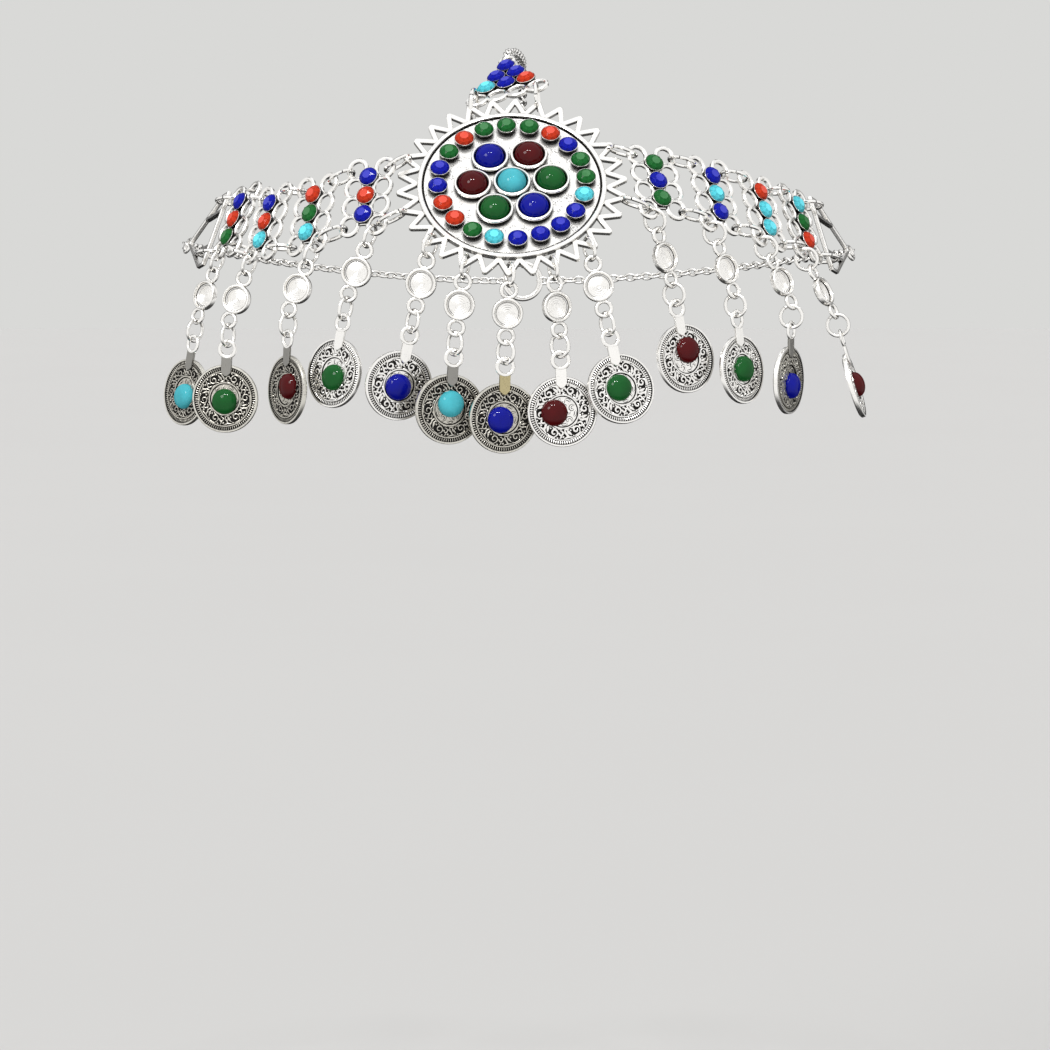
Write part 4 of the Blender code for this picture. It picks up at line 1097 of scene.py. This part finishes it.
class HEADCHAIN_OT_cabochons(bpy.types.Operator):
    """Builds the seven domed stones of the medallion"""

    bl_idname = "headchain.cabochons"
    bl_label = "Domed stones"

    def execute(self, context):
        seat = PLATE_THICKNESS / 2.0 + CABOCHON_SEAT * 1.5
        profile = dome_profile(CABOCHON_RADIUS, seat, CABOCHON_GIRDLE, CABOCHON_DOME, 12)
        for index, letter in enumerate(DOME_STONES):
            solid = f"cabochon_{index or 'center'}"
            place = moved(*polar(BEZEL_PITCH, 60.0 * (index - 1))) if index else HERE
            bench = Bench()
            bench.turned(profile, 48, [finishes()["dome_" + letter]], MEDALLION @ place)
            bench.show(solid + "_dome", POLISHED_EDGE, solid)
        return {"FINISHED"}


def band_link_metal():
    """A cast band link in its own frame: three cups between eight open loops."""
    silver = finishes()["silver"]
    half = LINK_THICKNESS / 2.0
    bench = Bench()
    for side in (-1.0, 1.0):
        for row in range(4):
            oval = loop_oval(side * LOOP_CENTRE, (row - 1.5) * STONE_PITCH)
            bench.strip(oval, LOOP_WIRE * 0.57, -half, half, 0.00028, silver)
    spine = LINK_SPINE_HALF_WIDTH
    tall = STONE_PITCH * 1.5
    outline = ((-spine, -tall), (spine, -tall), (spine, tall), (-spine, tall))
    bench.bar(outline, -half, half * 0.6, 0.00015, silver)
    for step in (-1, 0, 1):
        cup_on(bench, moved(0.0, step * STONE_PITCH))
    return bench.mesh("band_link", CAST_EDGE)


def is_end(pose):
    """Whether a link is one of the two open triangles that end the band."""
    return pose.name.startswith("end_link")


class HEADCHAIN_OT_band_links(bpy.types.Operator):
    """Builds the cast band links with their stones and joining rings"""

    bl_idname = "headchain.band_links"
    bl_label = "Band links"

    def execute(self, context):
        pattern = band_link_metal()
        for pose, after in zip(LINK_POSES, LINK_POSES[1:]):
            if is_end(pose):
                continue
            at = LINKS[pose.name]
            bench = Bench()
            bench.absorb(pattern.copy(), at)
            ends = []
            for upper in (1.0, -1.0):
                near = loop_place(pose, 1.0, upper, -SOLDER_OVERLAP)
                far = loop_place(after, -1.0, upper, RING_PLAY)
                ends.append((near, far, ring_facing(at, LINKS[after.name])))
            bench.absorb(joining_rings(ends))
            bench.show(pose.name + "_metal", CAST_EDGE, pose.name)
            seats = [at @ moved(0.0, step * STONE_PITCH) for step in (1, 0, -1)]
            shown(pose.name + "_stones", stones_mesh(seats, pose.stones))
        bpy.data.meshes.remove(pattern)
        return {"FINISHED"}


class HEADCHAIN_OT_crown_link(bpy.types.Operator):
    """Builds the triangular link above the medallion"""

    bl_idname = "headchain.crown_link"
    bl_label = "Crown link"

    def execute(self, context):
        silver = finishes()["silver"]
        at = LINKS[CROWN_POSE.name]
        half = LINK_THICKNESS / 2.0
        bench = Bench()
        for column in range(4):
            oval = loop_oval((column - 1.5) * STONE_PITCH, -LOOP_CENTRE, along_x=False)
            bench.strip(oval, LOOP_WIRE / 2.0, -half, half, 0.00026, silver, at)
        foot = STONE_PITCH * 1.2
        head = STONE_PITCH * 0.30
        top = 2.0 * STONE_ROW + 0.0012
        outline = ((-foot, -0.0008), (foot, -0.0008), (head, top), (-head, top))
        bench.bar(outline, -half, half * 0.6, 0.00015, finishes()["black"], at)
        seats = []
        for row, count in enumerate((3, 2, 1)):
            for step in range(count):
                seats.append(at @ moved((step - (count - 1) / 2.0) * STONE_PITCH, row * STONE_ROW))
        for seat in seats:
            cup_on(bench, seat)
        bench.hoop(EYE_RADIUS, EYE_WIRE / 2.0, silver, at @ moved(0.0, APEX_EYE_REACH))
        bench.show("crown_link_metal", CAST_EDGE, "crown_link")
        shown("crown_link_stones", stones_mesh(seats, CROWN_POSE.stones))
        return {"FINISHED"}


class HEADCHAIN_OT_end_links(bpy.types.Operator):
    """Builds the plain open triangles at the two ends of the front band"""

    bl_idname = "headchain.end_links"
    bl_label = "End links"

    def execute(self, context):
        silver = finishes()["silver"]
        half = LINK_THICKNESS / 2.0
        bar = LOOP_WIRE / 2.0
        shoulder = 2.0 * STONE_PITCH
        foot = -LOOP_REACH + bar
        top = APEX_EYE_REACH - EYE_RADIUS - bar
        waist = -0.42 * LOOP_REACH
        high = waist + (shoulder - STONE_PITCH) * (top - waist) / shoulder
        side = ((shoulder, foot), (shoulder, waist), (bar, top))
        outline = side + tuple((-x, y) for x, y in side[::-1])
        for pose in filter(is_end, LINK_POSES):
            at = LINKS[pose.name] @ spun(-90.0 * side_of(pose))
            bench = Bench()
            bench.strip(outline, bar, -half, half, 0.00025, silver, at)
            for post in (-STONE_PITCH, STONE_PITCH):
                corners = ((post - bar, foot), (post + bar, foot), (post + bar, high), (post - bar, high))
                bench.bar(corners, -half, half, 0.00025, silver, at)
            bench.hoop(EYE_RADIUS, EYE_WIRE / 2.0, silver, at @ moved(0.0, APEX_EYE_REACH))
            bench.show(pose.name + "_metal", CAST_EDGE, pose.name)
        return {"FINISHED"}


def connector_metal():
    """The cup of a drop with its two eyes, in the cup's own frame."""
    silver = finishes()["silver"]
    half = CUP_DEPTH / 2.0
    inner = CUP_RADIUS - CUP_WALL
    floor = -half + CUP_FLOOR
    profile = [
        (0.0, -half),
        (CUP_RADIUS - 0.0003, -half),
        (CUP_RADIUS, -half + 0.0003),
        (CUP_RADIUS, half - 0.0003),
        (CUP_RADIUS - 0.00015, half - 0.00006),
        (CUP_RADIUS - 0.0003, half),
        (inner + 0.0001, half - 0.00003),
        (inner - 0.00004, half - 0.00025),
        (inner - 0.00010, floor + 0.00035),
        (inner - 0.00016, floor + 0.00008),
        (inner - 0.00036, floor),
    ]
    ripple = inner - 0.00055
    while ripple > RIPPLE_LEAST:
        profile += [(ripple, floor + 0.00009), (ripple - RIPPLE_WIDTH, floor)]
        ripple -= RIPPLE_PITCH
    profile.append((0.0, floor + 0.00006))
    bench = Bench()
    # The ring where the wall meets the floor is black: oxide with painted shade in the corner
    bench.turned(profile, 48, [silver] * 8 + [finishes()["black"], silver])
    for side in (-1.0, 1.0):
        bench.hoop(EYE_RADIUS, EYE_WIRE / 2.0, silver, moved(0.0, side * (CUP_RADIUS + EYE_RADIUS)))
    return bench.mesh("connector", STRUCK_EDGE)


class HEADCHAIN_OT_hangers(bpy.types.Operator):
    """Builds the jump rings and connector cups of the drops"""

    bl_idname = "headchain.hangers"
    bl_label = "Hangers"

    def execute(self, context):
        pattern = connector_metal()
        for drop in DROPS:
            ring, cup, low_ring, _ = drop_places(drop)
            solid = "hanger_" + drop.name
            bench = Bench()
            bench.absorb(pattern.copy(), cup)
            rings = ((ring, HANG_RING_RADIUS), (low_ring, HANG_RING_RADIUS))
            bench.absorb(rings_mesh(rings, HANG_RING_RADIUS, HANG_WIRE_RADIUS))
            bench.show(solid + "_metal", STRUCK_EDGE, solid)
        bpy.data.meshes.remove(pattern)
        return {"FINISHED"}


def curl(start_radius, end_radius, middle, spread, hand, turns=1.15, steps=16):
    """A spiral stroke in a band of the coin, opening to one hand."""
    centre = Vector(polar((start_radius + end_radius) / 2.0, middle))
    reach = (end_radius - start_radius) / 2.0
    shares = [step / (steps - 1) for step in range(steps)]
    angles = [middle + spread + hand * 360.0 * turns * share for share in shares]
    return [centre + Vector(polar(reach * (1.0 - 0.72 * s), angle)) for s, angle in zip(shares, angles)]


def arc(radius, begin, end, steps, lift=0.0):
    """A stroke round the coin, bowed outward by a lift."""
    shares = [step / (steps - 1) for step in range(steps)]
    return [polar(radius + lift * math.sin(math.pi * s), begin + (end - begin) * s) for s in shares]


def coin_motif(finish, edge, crest, face, relief):
    """A sixth of a coin's ornament: curls, leaves and beads, in the coin's own frame."""
    bench = Bench()
    leaves = []
    for reach, spot in ((0.0051, 29.0), (0.0058, 33.0), (0.0051, 37.0)):
        leaf = ((reach - 0.0006, spot), (reach + 0.0001, spot + 1.0), (reach + 0.0007, spot + 5.0))
        leaves.append((1.5, [polar(*place) for place in leaf]))
    for share, path in (
        (1.0, curl(BAND_LOW + 0.0001, BAND_HIGH - 0.0002, 0.0, 20.0, 1.0)),
        (1.0, curl(BAND_LOW + 0.0003, BAND_HIGH - 0.0006, 17.0, 200.0, -1.0, 0.95)),
        (1.0, arc(BAND_HIGH - 0.0001, -10.0, 6.0, 9, 0.0001)),
        (1.0, arc(BAND_LOW, 6.0, 21.0, 9, -0.00015)),
        *leaves,
        (1.0, arc(BAND_LOW + 0.0001, 27.0, 45.0, 8)),
        (1.0, arc(BAND_HIGH, 25.0, 45.0, 9, -0.0003)),
        (1.1, [polar(0.0056, 19.5), polar(0.0061, 19.0), polar(0.0066, 16.5)]),
        (1.0, [polar(0.0043, -12.0), polar(0.0046, -5.0), polar(0.0043, 2.0)]),
        (1.2, [polar(0.0049, 40.5), polar(0.0055, 41.5), polar(0.0061, 44.5)]),
    ):
        bench.ridge(path, STROKE * share, face, relief, finish, edge, crest)
    for reach, spot, size in (
        (0.0065, 11.0, 0.00030),
        (0.0061, 24.0, 0.00034),
        (0.0064, 47.5, 0.00028),
        (0.0050, 24.5, 0.00028),
        (0.0049, 46.0, 0.00030),
        (0.0053, 11.0, 0.00026),
    ):
        bench.bead(*polar(reach, spot), size, face, relief, finish)
    return bench


def coin_metal(rim, metal, tab, rubbed, ticks, relief):
    """A struck coin with its bail, in the coin's own frame, its rim in a finish of its own.

    A rubbed coin is bright only along the backs of its strokes, their flanks black: oxide and painted shade.
    """
    recess = finishes()["black"]
    # On a rubbed coin the strokes' flanks are black: oxide, and painted shade beside their bright backs
    flanks = (recess, 0.50) if rubbed else (None, 0.86)
    face = COIN_THICKNESS / 2.0
    floor = face - 0.00005
    ring_top = face + relief * 0.8
    profile = (
        (0.0, -face),
        (COIN_RADIUS - 0.0003, -face),
        (COIN_RADIUS, -face + 0.0003),
        (COIN_RADIUS, face + 0.00006),
        (COIN_RADIUS - 0.00010, face + 0.00022),
        (COIN_RADIUS - 0.00050, face + 0.00024),
        (COIN_RADIUS - 0.00058, floor),
        (0.00702, floor),
        (0.00699, ring_top),
        (0.00674, ring_top),
        (0.00671, floor),
        (0.00418, floor),
        (0.00415, ring_top),
        (0.00385, ring_top),
        (0.00382, floor),
        (0.00362, floor),
        (0.00356, floor + 0.00006),
        (0.0, floor + 0.00006),
    )
    bench = Bench()
    # The floors between the rim, the rings and the ornament are black: oxide with painted shade
    looks = [rim] * 5 + [recess] * 2 + [metal] * 3 + [recess] + [metal] * 2 + [recess] * 2 + [metal]
    bench.turned(profile, 96, looks)
    tick = Bench()
    tick.ridge([(0.00706, 0.0), (0.0075, 0.0), (0.00800, 0.0)], 0.00018, floor, relief, metal, *flanks)
    bench.repeat(tick, ticks)
    bench.repeat(coin_motif(metal, *flanks, floor, relief), 6, 0.1)
    petal = Bench()
    strokes = [curl(0.0017, 0.0034, 0.0, 30.0, 1.0, 0.8, 12), arc(0.0030, 30.0, 58.0, 7, 0.0002)]
    strokes.append(arc(0.0016, 28.0, 60.0, 6))
    # Painted shadow: each bright stroke lies on a wider, low black stroke that outlines it
    for half, share, look in ((0.00036, 0.16, recess), (0.00020, 0.80, metal)):
        for stroke in strokes:
            petal.ridge(stroke, half, face, relief * share, look)
    bench.repeat(petal, 5, 0.3)
    bail_y = BAIL_ABOVE_EDGE + COIN_RADIUS
    bail = moved(0.0, bail_y, TAB_MIDDLE)
    bench.hoop(BAIL_RADIUS, BAIL_WIRE / 2.0, finishes()["wire"], bail, 32, 10, 0.8)
    half = TAB_HALF_WIDTH
    low = COIN_RADIUS - TAB_BELOW_EDGE
    side = ((half, bail_y - BAIL_RADIUS), (half, low + half * 0.75), (half * 0.25, low))
    outline = tuple((-x, y) for x, y in side) + side[::-1]
    bench.bar(outline, face - SUNK, face + TAB_THICKNESS - 2.0 * SUNK, 0.00012, tab)
    return bench.mesh("coin", STRUCK_EDGE)


class HEADCHAIN_OT_coins(bpy.types.Operator):
    """Builds the struck coins with their bails and glued stones"""

    bl_idname = "headchain.coins"
    bl_label = "Coins"

    def execute(self, context):
        settings = context.scene.head_chain_metal
        profile = dome_profile(
            COIN_STONE_RADIUS, COIN_THICKNESS / 2.0 - SUNK, COIN_STONE_GIRDLE, COIN_STONE_DOME, 10
        )
        for drop in DROPS:
            solid = "coin_" + drop.name
            place = drop_places(drop)[-1]
            *looks, rubbed = GREY_COINS.get(drop.name, ("struck", "struck", "tab", False))
            parts = [finishes()[look] for look in looks]
            mesh = coin_metal(*parts, rubbed, settings.ticks, settings.relief)
            mesh.transform(place)
            shown(solid + "_metal", mesh, solid)
            bench = Bench()
            at = place @ moved(drop.stone_x * TABLE_UNIT, drop.stone_y * TABLE_UNIT)
            bench.turned(profile, 40, [finishes()["dome_" + drop.stone]], at)
            bench.show(solid + "_stone", POLISHED_EDGE)
        return {"FINISHED"}


def trimmed(points, off):
    """The way without a length at its start."""
    while (points[1] - points[0]).length <= off:
        off -= (points[1] - points[0]).length
        points = points[1:]
    return [points[0] + (points[1] - points[0]).normalized() * off] + points[1:]


def eased(share):
    """A share from 0 to 1 that starts and ends gently."""
    return share * share * (3.0 - 2.0 * share)


def eased_start(points, start):
    """The way bent so that it leaves from a place, easing back over its first part."""
    off = start - points[0]
    count = len(points) * 0.3
    return [point + off * eased(max(0.0, 1.0 - index / count)) for index, point in enumerate(points)]


CLASP_AT = Vector((0.0, HEAD_BACK_REACH + CHAIN_RADIUS, BACK_LEVEL))


def crown_way():
    """From the crown link's eye over the top of the head to the closing ring."""
    start = LINKS[CROWN_POSE.name] @ Vector((0.0, APEX_EYE_REACH, 0.0))
    first = math.asin(-start.y / CROWN_FRONT_REACH)
    last = math.acos((BACK_LEVEL + CROWN_HEIGHT) / CROWN_HEIGHT)
    points = []
    for step in range(CHAIN_STEPS + 1):
        turn = -first + (last + first) * step / CHAIN_STEPS
        reach = CROWN_FRONT_REACH if turn < 0.0 else CROWN_BACK_REACH
        y = (reach + CHAIN_RADIUS) * math.sin(turn)
        points.append(Vector((0.0, y, (CROWN_HEIGHT + CHAIN_RADIUS) * math.cos(turn) - CROWN_HEIGHT)))
    points = eased_start(points, start)
    return eased_start(points[::-1], CLASP_AT)[::-1]


def back_way(pose, half_width):
    """From an end link's eye round the back of the head to the closing ring."""
    side = side_of(pose)
    start = LINKS[pose.name] @ Vector((side * APEX_EYE_REACH, 0.0, 0.0))
    first = math.acos(-start.y / HEAD_FRONT_REACH)
    points = []
    for step in range(CHAIN_STEPS + 1):
        share = step / CHAIN_STEPS
        turn = first + (math.pi - first) * share
        reach = HEAD_FRONT_REACH if turn < math.pi / 2.0 else HEAD_BACK_REACH
        x = side * (half_width + CHAIN_RADIUS) * math.sin(turn)
        y = -(reach + CHAIN_RADIUS) * math.cos(turn)
        points.append(Vector((x, y, start.z + (CLASP_AT.z - start.z) * eased(share))))
    return eased_start(points, start)


class HEADCHAIN_OT_chains(bpy.types.Operator):
    """Builds the plain chains over and round the head, and their closing ring"""

    bl_idname = "headchain.chains"
    bl_label = "Chains"

    def execute(self, context):
        settings = context.scene.head_chain_metal
        wire = settings.chain_wire
        link = settings.chain_link
        hook = link / 2.0 - wire
        clear = CLASP_RADIUS + hook - CLASP_WIRE_RADIUS * 0.5
        for solid, way in (
            ("crown_chain", crown_way()),
            ("back_chain_left", back_way(POSES["end_link_left"], HEAD_HALF_WIDTH_LEFT)),
            ("back_chain_right", back_way(POSES["end_link_right"], HEAD_HALF_WIDTH_RIGHT)),
        ):
            way = trimmed(trimmed(way, hook - EYE_WIRE * 0.2)[::-1], clear)[::-1]
            reach = sum((other - one).length for one, other in zip(way, way[1:]))
            mesh = bpy.data.meshes.new("way")
            mesh.from_pydata(way, [(index, index + 1) for index in range(len(way) - 1)], [])
            values = {
                "Link Length": link,
                "Link Width": 2.0 * CHAIN_RADIUS,
                "Wire": wire,
                "Links": round(reach / (link - 2.0 * wire)) + 1,
                "Material": finishes()["wire"],
            }
            made = grown(chain_tree(), mesh, values)
            made.shade_smooth()
            shown(solid + "_links", made, solid)
        bench = Bench()
        upright = Matrix.Translation(CLASP_AT) @ spun(90.0, "X")
        bench.hoop(CLASP_RADIUS, CLASP_WIRE_RADIUS, finishes()["wire"], upright, 48, 14)
        bench.show("clasp_ring", POLISHED_EDGE, "clasp")
        return {"FINISHED"}


def studio_light(add, backdrop):
    """A bright room with a dark band round its back, which edges the wires, and dark low down."""
    way = add("ShaderNodeTexCoord")["Generated"]
    parts = add("ShaderNodeSeparateXYZ", {"Vector": way})
    low_down = {0: way, 1: (0.0, 0.35, -0.94)}
    under = add("ShaderNodeVectorMath", low_down, operation="DOT_PRODUCT")["Value"]
    round_back = ((-1.0, 1.05), (0.46, 0.95), (0.62, 0.34), (0.74, 0.10), (0.84, 0.16), (0.94, 0.75))
    greys = []
    for value, stops in (
        (parts["Y"], round_back),
        (parts["Z"], ((0.60, 0.0), (0.82, 1.0))),
        (under, ((0.42, 1.0), (0.62, 0.45), (0.82, 0.06))),
    ):
        share = add("ShaderNodeMapRange", {"Value": value, "From Min": -1.0})[0]
        stops = [((place + 1.0) / 2.0, grey) for place, grey in stops]
        greys.append(add("ShaderNodeValToRGB", {0: share}, stops)[0])
    front, above, below = greys
    lit = {"Factor": above, 6: front, 7: (1.15, 1.16, 1.18, 1.0)}
    shaded = {"Factor": 1.0, 6: add("ShaderNodeMix", lit, data_type="RGBA")[2], 7: below}
    room = add("ShaderNodeMix", shaded, data_type="RGBA", blend_type="MULTIPLY")[2]
    ray = add("ShaderNodeLightPath")
    seen = {"Factor": ray["Is Camera Ray"], 6: room, 7: opaque(backdrop)}
    # The room lights dull surfaces less than it shows in polished ones, so the lamps shape the stones
    dimmed = {0: ray["Is Diffuse Ray"], 1: -0.5, 2: 1.0}
    strength = add("ShaderNodeMath", dimmed, operation="MULTIPLY_ADD")[0]
    add("Background", {"Color": add("ShaderNodeMix", seen, data_type="RGBA")[2], "Strength": strength})


class HEADCHAIN_OT_stage(bpy.types.Operator):
    """Sets the plain floor, the soft light and the camera"""

    bl_idname = "headchain.stage"
    bl_label = "Stage"

    def execute(self, context):
        scene = context.scene
        settings = scene.head_chain_stage

        def linked(name, data):
            """An object of the scene."""
            made = bpy.data.objects.new(name, data)
            scene.collection.objects.link(made)
            return made

        mesh = bpy.data.meshes.new("floor")
        corners = ((-1.0, -1.0), (1.0, -1.0), (1.0, 1.0), (-1.0, 1.0))
        points = [(x * FLOOR_REACH, y * FLOOR_REACH, -settings.drop) for x, y in corners]
        mesh.from_pydata(points, [], [(0, 1, 2, 3)])
        mesh.materials.append(floor_material(settings.floor))
        floor = linked("floor", mesh)
        floor.visible_glossy = False
        scene.world = bpy.data.worlds.new("studio")
        scene.world.use_nodes = True
        studio_light(partial(node, scene.world.node_tree), settings.backdrop)
        # Distant soft lamps: where from, share of the key light, softness, and whether metal mirrors them
        for name, way, share, softness, mirrored in (
            ("key_light", (-0.50, -0.75, 0.62), 1.0, 20.0, True),
            ("left_lamp", (-0.16, -0.58, 0.80), 0.75, 5.0, True),
            ("right_lamp", (0.12, -0.58, 0.81), 0.75, 5.0, True),
            ("fill_light", (0.60, -0.90, 0.25), 0.40, 40.0, False),
        ):
            lamp = bpy.data.lights.new(name, "SUN")
            lamp.energy = settings.key * share
            lamp.angle = math.radians(softness)
            made = linked(name, lamp)
            made.location = way
            made.rotation_euler = (-Vector(way)).to_track_quat("-Z", "Y").to_euler()
            made.visible_glossy = mirrored
        lens = bpy.data.cameras.new("photograph_camera")
        lens.sensor_width = SENSOR_MM
        lens.lens = CAMERA_FOCAL_PIXELS * SENSOR_MM / PHOTO_PIXELS
        lens.clip_start = 0.01
        camera = linked("photograph_camera", lens)
        camera.location = CAMERA_AT
        camera.rotation_euler = (math.radians(CAMERA_TILT), 0.0, 0.0)
        scene.camera = camera
        scene.view_settings.view_transform = "Standard"
        return {"FINISHED"}


class HEADCHAIN_PT_panel(bpy.types.Panel):
    """Lists the settings and the pieces"""

    bl_idname = "HEADCHAIN_PT_panel"
    bl_label = "Coin Head Chain"
    bl_space_type = "VIEW_3D"
    bl_region_type = "UI"
    bl_category = "Head Chain"

    def draw(self, context):
        layout = self.layout
        scene = context.scene
        for group in (scene.head_chain_metal, scene.head_chain_stones, scene.head_chain_stage):
            box = layout.box()
            for name in group.__annotations__:
                box.prop(group, name)
        for operator in PIECE_OPERATORS:
            layout.operator(operator.bl_idname)


GROUPS = (HeadChainMetal, HeadChainStones, HeadChainStage)
PIECE_OPERATORS = (
    HEADCHAIN_OT_stage,
    HEADCHAIN_OT_medallion,
    HEADCHAIN_OT_cabochons,
    HEADCHAIN_OT_band_links,
    HEADCHAIN_OT_crown_link,
    HEADCHAIN_OT_end_links,
    HEADCHAIN_OT_hangers,
    HEADCHAIN_OT_coins,
    HEADCHAIN_OT_chains,
)


def register():
    """Registers the settings, the operators and the panel."""
    for part in GROUPS + PIECE_OPERATORS + (HEADCHAIN_PT_panel,):
        bpy.utils.register_class(part)
    bpy.types.Scene.head_chain_metal = PointerProperty(type=HeadChainMetal)
    bpy.types.Scene.head_chain_stones = PointerProperty(type=HeadChainStones)
    bpy.types.Scene.head_chain_stage = PointerProperty(type=HeadChainStage)


def unregister():
    """Takes them away again."""
    del bpy.types.Scene.head_chain_stage
    del bpy.types.Scene.head_chain_stones
    del bpy.types.Scene.head_chain_metal
    for part in reversed(GROUPS + PIECE_OPERATORS + (HEADCHAIN_PT_panel,)):
        bpy.utils.unregister_class(part)


def main():
    """Builds every piece in order."""
    register()
    bpy.ops.headchain.stage()
    bpy.ops.headchain.medallion()
    bpy.ops.headchain.cabochons()
    bpy.ops.headchain.band_links()
    bpy.ops.headchain.crown_link()
    bpy.ops.headchain.end_links()
    bpy.ops.headchain.hangers()
    bpy.ops.headchain.coins()
    bpy.ops.headchain.chains()


if __name__ == "__main__":
    main()
